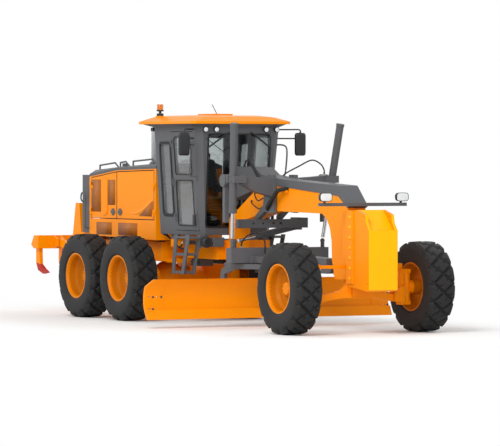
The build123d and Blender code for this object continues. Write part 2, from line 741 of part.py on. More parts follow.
# Lean yokes turn on the axle's ends, and the knuckles on the kingpins that the yokes hold
post_y = (kingpin_y - 115, kingpin_y - 70)
arm_reach = kingpin_y + 50
lean_lug_x = (wheelbase - 35, lean_bar_x - 33)
lean_pin = 18.0
for side_name, side in sides.items():
    post = sorted((side * post_y[0], side * post_y[1]))
    arm = sorted((side * post_y[0], side * arm_reach))
    pivot_y = side * lean_pivot_y
    with BuildPart() as yoke:
        for x0, x1 in [(beam_x[0] - 56, beam_x[0] - running_gap), (beam_x[1] + running_gap, beam_x[1] + 56)]:
            cheek = [
                (pivot_y - side * 50, axle_beam_z - 55),
                (side * post_y[1], axle_beam_z - 80),
                (side * post_y[1], axle_beam_z + 170),
                (side * post_y[0], axle_beam_z + 170),
                (pivot_y - side * 50, axle_beam_z + 55),
            ]
            cross_plate(cheek, (x0, x1))
        bar(at(beam_x[0] - 55, pivot_y, axle_beam_z), at(beam_x[1] + 55, pivot_y, axle_beam_z), pivot_pin)
        block((beam_x[0] - 20, beam_x[1] + 20), post, (kingpin_low_z - 60, kingpin_high_z + 60))
        for low in (kingpin_low_z - 60, kingpin_high_z):
            block((wheelbase - 60, wheelbase + 60), arm, (low, low + 60))
        lug = sorted((side * (lean_pivot_y - 34), side * post_y[1]))
        block(lean_lug_x, lug, (lean_bar_z - 40, lean_bar_z + 40))
        block(lean_lug_x, post, (kingpin_high_z, lean_bar_z + 40))
        pin_end = lean_bar_x + 25 if side < 0 else lean_bar_x + 24
        bar(at(lean_lug_x[0], side * lean_pivot_y, lean_bar_z), at(pin_end, side * lean_pivot_y, lean_bar_z), lean_pin)
        bar(at(wheelbase, side * kingpin_y, kingpin_low_z - 10), at(wheelbase, side * kingpin_y, kingpin_high_z + 10), kingpin_radius)
    save(yoke.part, f"lean_yoke_{side_name}")
    with BuildPart() as knuckle:
        low, high = kingpin_low_z + fit, kingpin_high_z - fit
        bar(at(wheelbase, side * kingpin_y, low), at(wheelbase, side * kingpin_y, high), kingpin_radius + 18)
        bar(at(wheelbase, side * (kingpin_y + 30), tyre_radius), at(wheelbase, side * (kingpin_y + kingpin_radius + 40), tyre_radius), 95)
        bar(at(wheelbase, side * kingpin_y, low - 1), at(wheelbase, side * kingpin_y, high + 1), kingpin_radius + fit, mode=Mode.SUBTRACT)
    save(knuckle.part, f"knuckle_{side_name}")

lean_bar_half = lean_pivot_y
with BuildPart() as lean_bar:
    block((lean_bar_x - 22, lean_bar_x + 22), (-lean_bar_half, lean_bar_half), (lean_bar_z - 24, lean_bar_z + 24))
    for side, loose in ((-1, fit), (1, 3)):
        y = side * lean_bar_half
        bar(at(lean_bar_x - 22, y, lean_bar_z), at(lean_bar_x + 22, y, lean_bar_z), 34)
        bar(at(lean_bar_x - 23, y, lean_bar_z), at(lean_bar_x + 23, y, lean_bar_z), lean_pin + loose, mode=Mode.SUBTRACT)
save(lean_bar.part, "lean_bar")

# Push block: hollow casting bolted to the nose, with side plates that reach back to the leg
push_face = front_reach
cheek_y = (push_half - 45, push_half)
strip_x = (wheelbase + 165.0, wheelbase + 350.0)
push_outline = [
    (push_rear, 1120),
    (push_rear + 60, push_low_z + 60),
    (push_face - 30, push_low_z),
    (push_face, push_low_z + 20),
    (push_face, push_high_z),
    (push_face - 60, push_high_z),
    (push_face - 90, 1560),
    (push_top_x, 1829),
    (leg_front + fit, 1800),
    (leg_front + fit, 1120),
]
with BuildPart() as push_block:
    side_plate(push_outline, (-push_half, push_half))
    inner = [
        (leg_front + push_wall, 1120 + push_wall),
        (push_rear + 75, 1120 + push_wall),
        (push_rear + 95, 900),
        (push_face - 210, 900),
        (push_face - 210, 1460),
        (push_top_x - 60, 1750),
        (leg_front + push_wall, 1750),
    ]
    side_plate(inner, (-push_half + push_wall, push_half - push_wall), mode=Mode.SUBTRACT)
    for side in sides.values():
        # bolted strip down the side, and a cheek with two lifting holes
        strip = sorted((side * (push_half - 5), side * (push_half + 22)))
        block(strip_x, strip, (740, 1820))
        cheek = sorted((side * cheek_y[0], side * cheek_y[1]))
        cheek_outline = [
            (push_top_x, 1700),
            (push_face, push_high_z - 40),
            (push_face - 10, push_high_z),
            (push_face - 90, 1650),
            (push_face - 110, 1760),
            (push_face - 210, 1790),
            (push_top_x, 1829),
        ]
        side_plate(cheek_outline, cheek)
        for x, z in ((push_face - 160, 1715), (push_face - 60, 730)):
            low, high = side * (cheek_y[0] - 1), side * (cheek_y[1] + 1)
            bar(at(x, low, z), at(x, high, z), 22, mode=Mode.SUBTRACT)
save(push_block.part, "push_block")

# Cab: hollow shell whose side walls lean in, made between an outer and an inner tapered block.
# Each wall is as thick as the real one; doors and glass come out of the same tapered blocks.
def cab_section(z, inset):
    """Level section through the cab at height z, moved in by inset."""
    share = (z - cab_floor_z) / (cab_top_z - cab_floor_z)
    half = cab_half_low + (cab_half_high - cab_half_low) * share - inset
    front = cab_front_low + (cab_front_high - cab_front_low) * share - inset
    rear = cab_rear + inset
    corner = 90.0
    outline = [
        (rear, -half),
        (front - corner, -half),
        (front, -half + corner),
        (front, half - corner),
        (front - corner, half),
        (rear, half),
    ]
    with BuildSketch(Plane.XY.offset(z)) as section:
        with BuildLine():
            Polyline([(fore(x), y) for x, y in outline], close=True)
        make_face()
    return section.sketch


def cab_taper(low, high, inset):
    """Tapered block of the cab between two heights, its walls moved in by inset."""
    loft([cab_section(low, inset), cab_section(high, inset)], ruled=True)


def cab_cut(low, high, inset):
    """The same tapered block, cut away."""
    loft([cab_section(low, inset), cab_section(high, inset)], ruled=True, mode=Mode.SUBTRACT)


def roof_section(z, half, rear, front, corner):
    """Level section of the roof at height z with cut corners."""
    outline = [
        (rear + corner, -half),
        (front - corner, -half),
        (front, -half + corner),
        (front, half - corner),
        (front - corner, half),
        (rear + corner, half),
        (rear, half - corner),
        (rear, -half + corner),
    ]
    with BuildSketch(Plane.XY.offset(z)) as section:
        with BuildLine():
            Polyline([(fore(x), y) for x, y in outline], close=True)
        make_face()
    return section.sketch


rim_z = (cab_top_z, eave_z - 5)
lean_step = (cab_half_high - cab_half_low) / (cab_top_z - cab_floor_z)
cab_hinge_z = (1600.0, 2150.0, 2750.0)


def cab_half(z):
    """Half width of the cab's outer face at height z."""
    return cab_half_low + lean_step * (z - cab_floor_z)


belt = 40.0
quarter_window = (1165.0, 1505.0)
quarter_window_z = (1690.0, 2810.0)
rear_window_half = 480.0
front_window_half = 545.0
front_window_z = (1500.0, 2960.0)
rear_window_z = (1800.0, 2900.0)
pane_rows = [
    # low and high edge of the lower and the upper pane
    (door_low_z + 70, door_belt_z - belt),
    (door_belt_z + belt, door_high_z - 70),
]
reach = 900.0

with BuildPart() as cab_shell:
    cab_taper(cab_floor_z, cab_top_z, 0)
    cab_cut(cab_floor_z + cab_wall, cab_top_z - cab_wall, cab_wall)
    # door openings right through both walls
    gap = door_gap
    doorway = (door_rear_x - gap, door_front_x + gap)
    block(doorway, (-reach, reach), (door_low_z - gap, door_high_z + gap), mode=Mode.SUBTRACT)
    # quarter windows behind the doors, rear and front windows
    block(quarter_window, (-reach, reach), quarter_window_z, mode=Mode.SUBTRACT)
    block((cab_rear - 10, cab_rear + cab_wall + 10), (-rear_window_half, rear_window_half), rear_window_z, mode=Mode.SUBTRACT)
    block((2200, 2600), (-front_window_half, front_window_half), front_window_z, mode=Mode.SUBTRACT)
    block((1900, 2000), (-reach, reach), (cab_floor_z + cab_wall, door_low_z), mode=Mode.SUBTRACT)
    for side in sides.values():
        for z in cab_hinge_z:
            foot = at(door_rear_x - door_gap / 2, side * cab_half(z), z)
            hinge_leaf(foot, (0, side * lean_step, 1), side, -1, hinge_height + fit, 2 * hinge_height)
    # grey rim that carries the roof
    rim_sections = [
        roof_section(rim_z[0], cab_half_high + 20, cab_rear - 120, cab_front_high + 20, 120),
        roof_section(rim_z[1], roof_half - 35, roof_rear + 40, roof_front - 35, roof_corner + 20),
    ]
    loft(rim_sections, ruled=True)
    # bearers on the front frame
    for x0, x1 in [(1300, 1400), (2240, 2340)]:
        for side in sides.values():
            block((x0, x1), sorted((side * 480.0, side * 590.0)), (1300 + fit, cab_floor_z))
save(cab_shell.part, "cab_shell")

# Glass of the cab's fixed windows: thin tapered skin cut to each window, just inside its frame
glass_inset = 22.0
pane_fit = 0.3
window_boxes = [
    # forward from, to, sideways from, to, height from, to
    (*quarter_window, -reach, reach, *quarter_window_z),
    (cab_rear - 10, cab_rear + 200, -rear_window_half, rear_window_half, *rear_window_z),
    (2200, 2600, -front_window_half, front_window_half, *front_window_z),
]


def pane_skin():
    """Hollow tapered skin of the glass thickness, all round the cab."""
    with BuildPart() as skin:
        cab_taper(cab_floor_z + 1, cab_top_z - 1, glass_inset)
        cab_cut(cab_floor_z + 1, cab_top_z - 1, glass_inset + glass_thickness)
    return skin.part


def blocks(boxes):
    """Several blocks as one private part, to keep what of another part lies in them."""
    with BuildPart() as kept:
        for x, y, z in boxes:
            block(x, y, z)
    return kept.part


glass_skin = pane_skin()
window_keep = blocks(
    [
        ((x0 + pane_fit, x1 - pane_fit), (y0 + pane_fit, y1 - pane_fit), (z0 + pane_fit, z1 - pane_fit))
        for x0, x1, y0, y1, z0, z1 in window_boxes
    ]
)
with BuildPart() as cab_glass:
    add(glass_skin)
    add(window_keep, mode=Mode.INTERSECT)
save(cab_glass.part, "cab_glass")

# Cab doors, each a frame with a lower and an upper pane, out of the same tapered wall
handle_z = 1620.0
for side_name, side in sides.items():
    near = sorted((side * 300.0, side * reach))
    leaf = blocks([((door_rear_x, door_front_x), near, (door_low_z, door_high_z))])
    pane_x = (door_rear_x + 70 + pane_fit, door_front_x - 70 - pane_fit)
    panes = blocks([(pane_x, near, (low + pane_fit, high - pane_fit)) for low, high in pane_rows])
    with BuildPart() as door:
        cab_taper(door_low_z, door_high_z, 0)
        cab_cut(door_low_z, door_high_z, cab_wall - 4)
        add(leaf, mode=Mode.INTERSECT)
        for low, high in pane_rows:
            block((door_rear_x + 70, door_front_x - 70), near, (low, high), mode=Mode.SUBTRACT)
        for z in cab_hinge_z:
            foot = at(door_rear_x - door_gap / 2, side * cab_half(z), z)
            hinge_leaf(foot, (0, side * lean_step, 1), side, 1, 0, hinge_height)
        # handle on two feet near the front edge
        hy = side * (cab_half_low + 20 + 55)
        foot_y = sorted((side * (cab_half_low - 5), hy))
        for z in (handle_z - 70, handle_z + 70):
            block((door_front_x - 60, door_front_x - 36), foot_y, (z - 12, z + 12))
        block((door_front_x - 60, door_front_x - 36), sorted((hy - side * 18, hy)), (handle_z - 82, handle_z + 82))
    save(door.part, f"cab_door_{side_name}")
    with BuildPart() as door_glass:
        add(glass_skin)
        add(panes, mode=Mode.INTERSECT)
    save(door_glass.part, f"door_glass_{side_name}")


# Roof: crowned orange lid over the cab's grey rim
with BuildPart() as cab_roof:
    stations = [
        # height, half width, rear, front, corner
        (rim_z[1] + fit, roof_half, roof_rear, roof_front, roof_corner),
        (eave_z + 35, roof_half, roof_rear, roof_front, roof_corner),
        (roof_top_z - 25, roof_half - 130, roof_rear + 150, roof_front - 170, 170),
        (roof_top_z, roof_half - 300, roof_rear + 330, roof_front - 380, 170),
    ]
    loft([roof_section(*station) for station in stations], ruled=True)
    block((1400, 1900), (-180, 180), (roof_top_z - 5, roof_top_z + 28))
    bar(at(*beacon_place, roof_top_z - 40), at(*beacon_place, roof_top_z - 5), 75)
save(cab_roof.part, "cab_roof")

# Seat on its pedestal, and the control column with its wheel in front of it
steer_tilt = 25.0
with BuildPart() as cab_interior:
    floor = cab_floor_z + cab_wall + fit
    bar(at(1560, 0, floor), at(1560, 0, 1760), 110)
    block((1320, 1800), (-240, 240), (1760, 1880))
    side_plate([(1320, 1880), (1440, 1880), (1380, 2420), (1260, 2420)], (-230, 230))
    side_plate([(1275, 2420), (1365, 2420), (1345, 2600), (1265, 2600)], (-120, 120))
    for side in sides.values():
        block((1400, 1760), sorted((side * 250.0, side * 320.0)), (2050, 2110))
        block((1400, 1450), sorted((side * 235.0, side * 255.0)), (1880, 2110))
    side_plate([(2080, floor), (2200, floor), (2060, 2080), (2000, 2080)], (-60, 60))
    centre = at(2010, 0, 2120)
    wheel_plane = Plane(origin=centre, x_dir=(0, 1, 0), z_dir=(-sin(radians(steer_tilt)), 0, cos(radians(steer_tilt))))
    with BuildSketch(wheel_plane) as ring:
        Circle(190)
        Circle(160, mode=Mode.SUBTRACT)
        Rectangle(340, 30)
        Circle(45)
    extrude(ring.sketch, amount=22)
    bar(at(2030, 0, 2060), centre, 30)
    for side in sides.values():
        block((1700, 1900), sorted((side * 340.0, side * 460.0)), (floor, 2130))
        for x in (1730, 1790, 1850):
            bar(at(x, side * 400, 2125), at(x, side * 400, 2230), 12)
save(cab_interior.part, "cab_interior")

# Ladders: two stringers and three treads on each side, and grab rails beside the doors
tread_table = [
    # height, rear end, front end
    (800, 1800, 2180),
    (1080, 1840, 2290),
    (1345, 1890, 2400),
]
ladder_y = (640.0, 850.0)
rear_stringer = [(1800, 768), (1885, 768), (2000, 1385), (1890, 1385)]
front_stringer = [(2115, 768), (2200, 768), (2415, 1385), (2305, 1385)]
with BuildPart() as ladders:
    for side in sides.values():
        depth = sorted((side * ladder_y[0], side * ladder_y[1]))
        for z, x0, x1 in tread_table:
            block((x0, x1), depth, (z - 18, z + 18))
        stringer = sorted((side * ladder_y[0], side * (ladder_y[0] + 20)))
        side_plate(rear_stringer, stringer)
        side_plate(front_stringer, stringer)
        stringer = sorted((side * (ladder_y[1] - 20), side * ladder_y[1]))
        side_plate(rear_stringer, stringer)
        side_plate(front_stringer, stringer)
        hanger = sorted((side * 600.3, side * (ladder_y[0] + 5)))
        block((2230, 2350), hanger, (1180, 1300))
        block((1890, 1960), sorted((side * 330.3, side * (ladder_y[0] + 5))), (1230, 1290))
save(ladders.part, "ladders")

# Mirrors on arms from the front pillars
mirror_x = (2545.0, 2590.0)
mirror_y = (935.0, 1120.0)
mirror_z = (2620.0, 2980.0)
with BuildPart() as mirrors:
    for side in sides.values():
        block(mirror_x, sorted((side * mirror_y[0], side * mirror_y[1])), mirror_z)
        mirror_mid = at((mirror_x[0] + mirror_x[1]) / 2, side * (mirror_y[0] + mirror_y[1]) / 2, mirror_z[1] - 20)
        for z, inner in ((2890, mirror_y[0] + 20), (3030, mirror_mid.Y * side)):
            root = cab_half(z) + 1.2
            knees = [
                at(2330, side * root, z),
                at(2330, side * (root + 60), z),
                Vector(mirror_mid.X, side * inner, z),
            ]
            tube(knees, 12)
        with Locations(Vector(mirror_mid.X, mirror_mid.Y, 3030)):
            Sphere(12)
        bar(mirror_mid, Vector(mirror_mid.X, mirror_mid.Y, 3030), 12)
save(mirrors.part, "mirrors")

# Lamps: four under the eave, two head lamps on the light bar
lamp_y = (-630, -440, 440, 630)
with BuildPart() as lamps:
    for y in lamp_y:
        bar(at(roof_front - 84, y, cab_top_z - 44), at(roof_front - 22, y, cab_top_z - 44), 42)
        block((roof_front - 71, roof_front - 61), (y - 12, y + 12), (cab_top_z - 20, cab_top_z + 6))
    for side in sides.values():
        y = side * head_lamp_y
        low = light_bar_z[1] + 20 + fit
        x0, x1 = light_bar_x - 37, light_bar_x + 63
        housing = [(x0, low), (x1, low), (x1, low + 110), (x1 - 40, low + 130), (x0, low + 110)]
        side_plate(housing, (y - 105, y + 105))
save(lamps.part, "lamps")

with BuildPart() as beacon:
    foot = roof_top_z - 5 + fit
    bar(at(*beacon_place, foot), at(*beacon_place, foot + 40), 55)
    bar(at(*beacon_place, foot + 39), at(*beacon_place, foot + 75), 22)
    bar(at(*beacon_place, foot + 74), at(*beacon_place, foot + 95), 58)
    bar(at(*beacon_place, foot + 94), at(*beacon_place, beacon_top_z), 50)
save(beacon.part, "beacon")

# Saddle over the gooseneck: two cheeks, arms out to the lift cylinders and the link bar below
lift_x, lift_y, lift_z = lift_top
fork_gap = barrel_radius + 26
limb_x = (lift_x - 288, lift_x - 218)
with BuildPart() as saddle:
    for side in sides.values():
        cheek = sorted((side * (neck_half + 12 + fit), side * (neck_half + 72)))
        cheek_outline = [
            (lift_x - 238, 1765),
            (lift_x + 92, 1745),
            (lift_x + 112, 2100),
            (lift_x + 72, 2330),
            (lift_x - 98, 2330),
            (lift_x - 178, 2160),
        ]
        side_plate(cheek_outline, cheek)
        inner = sorted((side * (neck_half + fit), side * (neck_half + 20)))
        side_plate([(lift_x - 218, 1768), (lift_x + 82, 1750), (lift_x + 82, 2050), (lift_x - 218, 2050)], inner)
        # casting out to the fork that holds the lift cylinder's trunnions
        casting = [
            (side * (neck_half + 60), 1990),
            (side * (lift_y - 330), 2080),
            (side * (lift_y - 130), lift_z - 70),
            (side * (lift_y - 130), lift_z + 60),
            (side * (lift_y - 330), 2300),
            (side * (neck_half + 60), 2280),
        ]
        cross_plate(casting, (lift_x - 90, lift_x + 90))
        # limb with its round boss behind the cylinder, for the lock bar's end
        limb_y = sorted((side * (lift_y - 50), side * (lift_y + 30)))
        block((limb_x[0], lift_x - fork_gap - 30), limb_y, (lift_z - 55, lift_z + 45))
        block(limb_x, limb_y, (1600, lift_z + 45))
        boss = sorted((side * (lift_y - 60), side * (lift_y + 55)))
        boss_x = (limb_x[0] + limb_x[1]) / 2
        bar(at(boss_x, boss[0], lift_z - 20), at(boss_x, boss[1], lift_z - 20), 95)
        for x0, x1 in [(lift_x - fork_gap - 40, lift_x - fork_gap), (lift_x + fork_gap, lift_x + fork_gap + 40)]:
            block((x0, x1), sorted((side * (lift_y - 170), side * (lift_y + 55))), (lift_z - 55, lift_z + 55))
            bar(at(x0 - 1, side * lift_y, lift_z), at(x1 + 1, side * lift_y, lift_z), 26 + fit, mode=Mode.SUBTRACT)
    sx, sy, sz = shift_top
    block(link_x, (-560, sy + 60), link_bar_z)
    for side in sides.values():
        strap = sorted((side * (neck_half + fit), side * (neck_half + 72)))
        strap_x = lift_x - 178
        side_plate([(link_x[0], link_z[0]), (strap_x, 1772), (strap_x, 1880), (link_x[0], link_z[1] + 30)], strap)
    for y in (-291, -123, 57, 182):
        bar(at(link_x[0] - 1, y, 1580), at(link_x[1] + 1, y, 1580), 18, mode=Mode.SUBTRACT)
    # ears that hold the centre-shift cylinder's eye
    ear = shift_barrel_radius + 10
    block((sx - ear - 35, link_x[1]), (sy - 50, sy + 60), link_z)
    for x0, x1 in [(sx - ear - 35, sx - ear), (sx + ear, sx + ear + 35)]:
        block((x0, x1), (sy - 50, sy + 50), (sz - 50, link_z[1]))
    bar(at(sx - ear - 35, sy, sz), at(sx + ear + 35, sy, sz), 24)
save(saddle.part, "saddle")

# Blade lift cylinders: barrel with trunnions, head cap and gland; rod with the half cup over its ball
for side_name, side in sides.items():
    hang = at(lift_x, side * lift_y, lift_z)
    eye = at(lift_eye[0], side * lift_eye[1], lift_eye[2])
    way = (eye - hang).normalized()
    head = hang - way * ((lift_head_z - lift_z) / abs(way.Z))
    gland = hang + way * 520
    with BuildPart() as lift_cylinder:
        bar(head, gland, barrel_radius)
        bar(head, head + way * 40, barrel_radius + 5)
        bar(gland - way * 60, gland, barrel_radius + 6)
        bar(hang - Vector(fork_gap + 40, 0, 0), hang + Vector(fork_gap + 40, 0, 0), 26)
        bar(hang - way * 40, hang + way * 40, barrel_radius + 9)
        bar(head + way * 60, gland + way * 1, lift_rod_radius + fit, mode=Mode.SUBTRACT)
    save(lift_cylinder.part, f"lift_cylinder_{side_name}")
    with BuildPart() as lift_rod:
        bar(hang - way * 300, eye, lift_rod_radius, end_trim=lift_rod_trim)
    save(lift_rod.part, f"lift_rod_{side_name}")

# Centre-shift cylinder under the neck, from the saddle's left ear to the drawbar's right side
shift_hang = at(*shift_top)
shift_end = at(*shift_eye)
shift_way = (shift_end - shift_hang).normalized()
with BuildPart() as shift_cylinder:
    bar(shift_hang, shift_hang + shift_way * shift_barrel_length, shift_barrel_radius)
    bar(shift_hang - Vector(40, 0, 0), shift_hang + Vector(40, 0, 0), 48)
    bar(shift_hang - Vector(60, 0, 0), shift_hang + Vector(60, 0, 0), 24 + fit, mode=Mode.SUBTRACT)
    bar(shift_hang + shift_way * 80, shift_hang + shift_way * (shift_barrel_length + 1), shift_rod_radius + fit, mode=Mode.SUBTRACT)
save(shift_cylinder.part, "shift_cylinder")
with BuildPart() as shift_rod:
    bar(shift_hang + shift_way * shift_rod_start, shift_end, shift_rod_radius, end_trim=shift_ball_radius + shift_rod_slack)
save(shift_rod.part, "shift_rod")

# Drawbar: ball in the leg's cup, two arms, the plate over the circle, and the cross beam
ball_pin = 28.0
ear_y = (82.0, 112.0)
with BuildPart() as drawbar_ball:
    with Locations(at(ball_x, 0, ball_z)):
        Sphere(ball_radius)
    bar(at(ball_x, -ear_y[1], ball_z), at(ball_x, ear_y[1], ball_z), ball_pin)
save(drawbar_ball.part, "drawbar_ball")

drawbar_z = (circle_z[1] + 15, 1085.0)
cross_x = (lift_eye[0] - 85, lift_eye[0] + 85)
with BuildPart() as drawbar:
    for side in sides.values():
        outer = [
            (ball_x - 190, side * 70),
            (ball_x - 190, side * 10),
            (ball_x - 620, side * 10),
            (4100, side * 330),
            (3700, side * 330),
            (3700, side * 470),
            (4160, side * 470),
        ]
        flat_plate(outer, drawbar_z)
    flat_plate([(2960, -330), (3200, -520), (3850, -520), (3850, 520), (3200, 520), (2960, 330)], drawbar_z)
    block(cross_x, (-lift_eye[1] - 60, lift_eye[1] + 60), (drawbar_z[0], 1215))
    # fork round the ball, with an ear each side on its pin
    block((ball_x - 280, ball_x - ball_radius - 30), (-ear_y[1], ear_y[1]), (ball_z - 70, drawbar_z[1]))
    for side in sides.values():
        ear = sorted((side * ear_y[0], side * ear_y[1]))
        side_plate([(ball_x - 120, ball_z - 60), (ball_x + 10, ball_z - 50), (ball_x + 42, ball_z), (ball_x + 10, ball_z + 50), (ball_x - 120, ball_z + 60)], ear)
        bar(at(ball_x, ear[0] - 1, ball_z), at(ball_x, ear[1] + 1, ball_z), ball_pin + fit, mode=Mode.SUBTRACT)
    for side in sides.values():
        x, y, z = lift_eye
        bar(at(x, side * y, 1200), at(x, side * y, z), 30)
        with Locations(at(x, side * y, z)):
            Sphere(lift_ball_radius)
    x, y, z = shift_eye
    bar(at(x, y, drawbar_z[0] + 10), at(x, y, z), 30)
    with Locations(at(x, y, z)):
        Sphere(shift_ball_radius)
    # wear shoes that carry the circle
    for x0, y0 in [(2860, 0), (4020, 0), (3440, -590), (3440, 590)]:
        block((x0 - 70, x0 + 70), (y0 - 80, y0 + 80), (circle_z[1] + fit, drawbar_z[1] - 20))
    block((2860, 2990), (-80, 80), (drawbar_z[0], drawbar_z[1]))
    block((3840, 4090), (-400, 400), drawbar_z)
save(drawbar.part, "drawbar")

# Circle: ring with two side arms down to the blade's hinge
tip_x, tip_z = 3240.0, 330.0
arm_gap_y = (640.0, 690.0)
with BuildPart() as circle:
    with BuildSketch(Plane(origin=at(circle_x, 0, circle_z[0]))) as ring:
        Circle(circle_radius)
        Circle(circle_radius - 110, mode=Mode.SUBTRACT)
    extrude(ring.sketch, amount=circle_z[1] - circle_z[0])
    for side in sides.values():
        y = sorted((side * arm_gap_y[0], side * arm_gap_y[1]))
        arm = [
            (3180, circle_z[0] + 5),
            (3130, 800),
            (tip_x - 90, tip_z + 40),
            (tip_x - 60, tip_z - 60),
            (tip_x + 50, tip_z - 60),
            (tip_x + 30, tip_z + 55),
            (3254, 800),
            (3600, circle_z[0] + 5),
        ]
        side_plate(arm, y)
        bar(at(tip_x, side * (arm_gap_y[0] - 90), tip_z), at(tip_x, side * arm_gap_y[1], tip_z), 30)
save(circle.part, "circle")

# Blade carrier: two brackets on the circle's pins, gripping the slide rails, with the shift barrel
rail_low = (3352.0, 250.0)
rail_high = (3320.0, 620.0)
rail_radius = 22.0
carrier_y = (arm_gap_y[0] - 95, arm_gap_y[0] - 8)
side_shift_z = 470.0
side_shift_x = 3308.0
with BuildPart() as blade_carrier:
    for side in sides.values():
        y = sorted((side * carrier_y[0], side * carrier_y[1]))
        bracket = [
            (tip_x - 50, tip_z - 50),
            (rail_low[0] + 5, rail_low[1] - 48),
            (rail_low[0] + 34, rail_low[1] - 25),
            (rail_low[0] + 30, rail_low[1] + 25),
            (side_shift_x + 30, side_shift_z - 40),
            (rail_high[0] + 25, rail_high[1] - 40),
            (rail_high[0] + 25, rail_high[1] + 45),
            (rail_high[0] - 50, rail_high[1] + 45),
            (tip_x - 55, 480),
        ]
        side_plate(bracket, y)
        for (x, z), radius in (((tip_x, tip_z), 30), (rail_low, rail_radius), (rail_high, rail_radius)):
            bar(at(x, y[0] - 1, z), at(x, y[1] + 1, z), radius + fit, mode=Mode.SUBTRACT)
    bar(at(side_shift_x, -carrier_y[1] + 5, side_shift_z), at(side_shift_x, carrier_y[1] - 5, side_shift_z), 42)
    bar(at(side_shift_x, -carrier_y[1] - 5, side_shift_z), at(side_shift_x, carrier_y[1] + 5, side_shift_z), 22 + fit, mode=Mode.SUBTRACT)
save(blade_carrier.part, "blade_carrier")

# Moldboard: curved plate, with end bits, slide rails at its back and the side-shift rod
blade_mid = (blade_low_z + blade_high_z) / 2
half_chord = (blade_high_z - blade_low_z) / 2
sagitta = blade_radius - (blade_radius**2 - half_chord**2) ** 0.5
end_bit = 300.0
end_bit_thickness = 14.0
corner_cut = 110.0


def blade_section(front, back, y):
    """Curved section of the blade in the plane at y, from front to back of its front face."""
    low = (fore(blade_edge_x), blade_low_z)
    high = (fore(blade_edge_x), blade_high_z)
    mid = (fore(blade_edge_x - sagitta), blade_mid)
    with BuildSketch(Plane.XZ.offset(-y)) as section:
        with BuildLine():
            ThreePointArc((low[0] + front, low[1]), (mid[0] + front, mid[1]), (high[0] + front, high[1]))
            Line((high[0] + front, high[1]), (high[0] - back, high[1]))
            ThreePointArc((high[0] - back, high[1]), (mid[0] - back, mid[1]), (low[0] - back, low[1]))
            Line((low[0] - back, low[1]), (low[0] + front, low[1]))
        make_face()
    return section.sketch


with BuildPart() as moldboard:
    extrude(blade_section(0, blade_thickness, blade_length / 2), amount=blade_length)
    for foremost in (blade_length / 2, -blade_length / 2 + end_bit):
        extrude(blade_section(end_bit_thickness, blade_thickness / 2, foremost), amount=end_bit)
    # cutting edge along the bottom
    side_plate(
        [
            (blade_edge_x - 4, blade_low_z),
            (blade_edge_x + 16, blade_low_z),
            (blade_edge_x - 42, blade_low_z + 150),
            (blade_edge_x - 62, blade_low_z + 146),
        ],
        (-blade_length / 2, blade_length / 2),
    )
    for side in sides.values():
        tip_y = side * (blade_length / 2 + 1)
        chamfer = [
            (tip_y, blade_high_z - corner_cut),
            (tip_y, blade_high_z + 10),
            (tip_y - side * (corner_cut + 10), blade_high_z + 10),
        ]
        cross_plate(chamfer, (blade_edge_x - 200, blade_edge_x + 50), mode=Mode.SUBTRACT)
        for inset, z in ((80, 480), (220, 480), (80, 300)):
            y = side * (blade_length / 2 - inset)
            bar(at(blade_edge_x - 200, y, z), at(blade_edge_x + 50, y, z), 14, mode=Mode.SUBTRACT)
    for x, z in (rail_low, rail_high):
        bar(at(x, -1250, z), at(x, 1250, z), rail_radius)
        for y in (-1240, 1240):
            side_plate([(x - 25, z - 25), (blade_edge_x - sagitta + 10, z - 25), (blade_edge_x - sagitta + 10, z + 25), (x - 25, z + 25)], (y - 20, y + 20))
    bar(at(side_shift_x, -560, side_shift_z), at(side_shift_x, 1290, side_shift_z), 22)
    block((side_shift_x - 30, blade_edge_x - sagitta - 10), (1250, 1290), (side_shift_z - 40, side_shift_z + 40))
save(moldboard.part, "moldboard")
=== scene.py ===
# %% [markdown]
# # A motor grader, dressed for its portrait
# A motor grader is a road machine ten metres long: an engine on two pairs of driven wheels at the back, a
# glazed cab, and a long bent beam that carries a blade in the middle and two leaning wheels in front. The
# solids come ready made and fixed in place. This script gives each of them the finish that the real one has,
# and adds what is too fine for the solids, such as tyre tread, hoses, seat cushions, bolts and window rubber.

# %% Load the frame
from math import cos, pi, radians, sin, tau

import bpy
import numpy as np
from mathutils import Matrix


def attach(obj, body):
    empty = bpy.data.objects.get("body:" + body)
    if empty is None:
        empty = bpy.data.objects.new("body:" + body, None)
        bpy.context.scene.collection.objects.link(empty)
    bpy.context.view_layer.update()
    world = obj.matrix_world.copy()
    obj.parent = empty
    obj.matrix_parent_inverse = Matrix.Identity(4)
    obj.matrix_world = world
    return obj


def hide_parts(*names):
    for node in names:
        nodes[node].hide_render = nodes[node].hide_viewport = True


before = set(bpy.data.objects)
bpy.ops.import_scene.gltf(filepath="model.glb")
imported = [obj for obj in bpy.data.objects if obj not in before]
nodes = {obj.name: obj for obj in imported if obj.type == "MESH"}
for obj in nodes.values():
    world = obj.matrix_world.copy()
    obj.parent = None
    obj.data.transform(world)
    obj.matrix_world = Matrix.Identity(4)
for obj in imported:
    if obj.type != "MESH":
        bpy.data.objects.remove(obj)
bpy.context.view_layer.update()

# %% [markdown]
# ## Places
# Along the machine, builders measure from the middle between the two driven wheels. The frame's own origin
# lies under the middle of the machine, 1.855 m further forward, so two short functions move places over.

# %% Places and sizes, in metres
TANDEM_X = -1.855
TYRE_RADIUS = 0.675
SIDES = {"right": -1, "left": 1}
WHEELS = {
    # name: forward of the tandem centre, middle of the tyre sideways
    "rear": (-0.7635, 1.082),
    "middle": (0.7635, 1.082),
    "front": (6.120, 1.126),
}


def at(x, y, z):
    """Point of the frame from a distance forward of the tandem centre, a sideways one and a height."""
    return np.array([x + TANDEM_X, y, z], dtype=float)


def at_all(places, side=1):
    """Points of the frame from rows of forward, sideways and height, with sideways times side."""
    return np.asarray(places, dtype=float) * (1, side, 1) + (TANDEM_X, 0, 0)


print("wheel base", WHEELS["front"][0], "m")

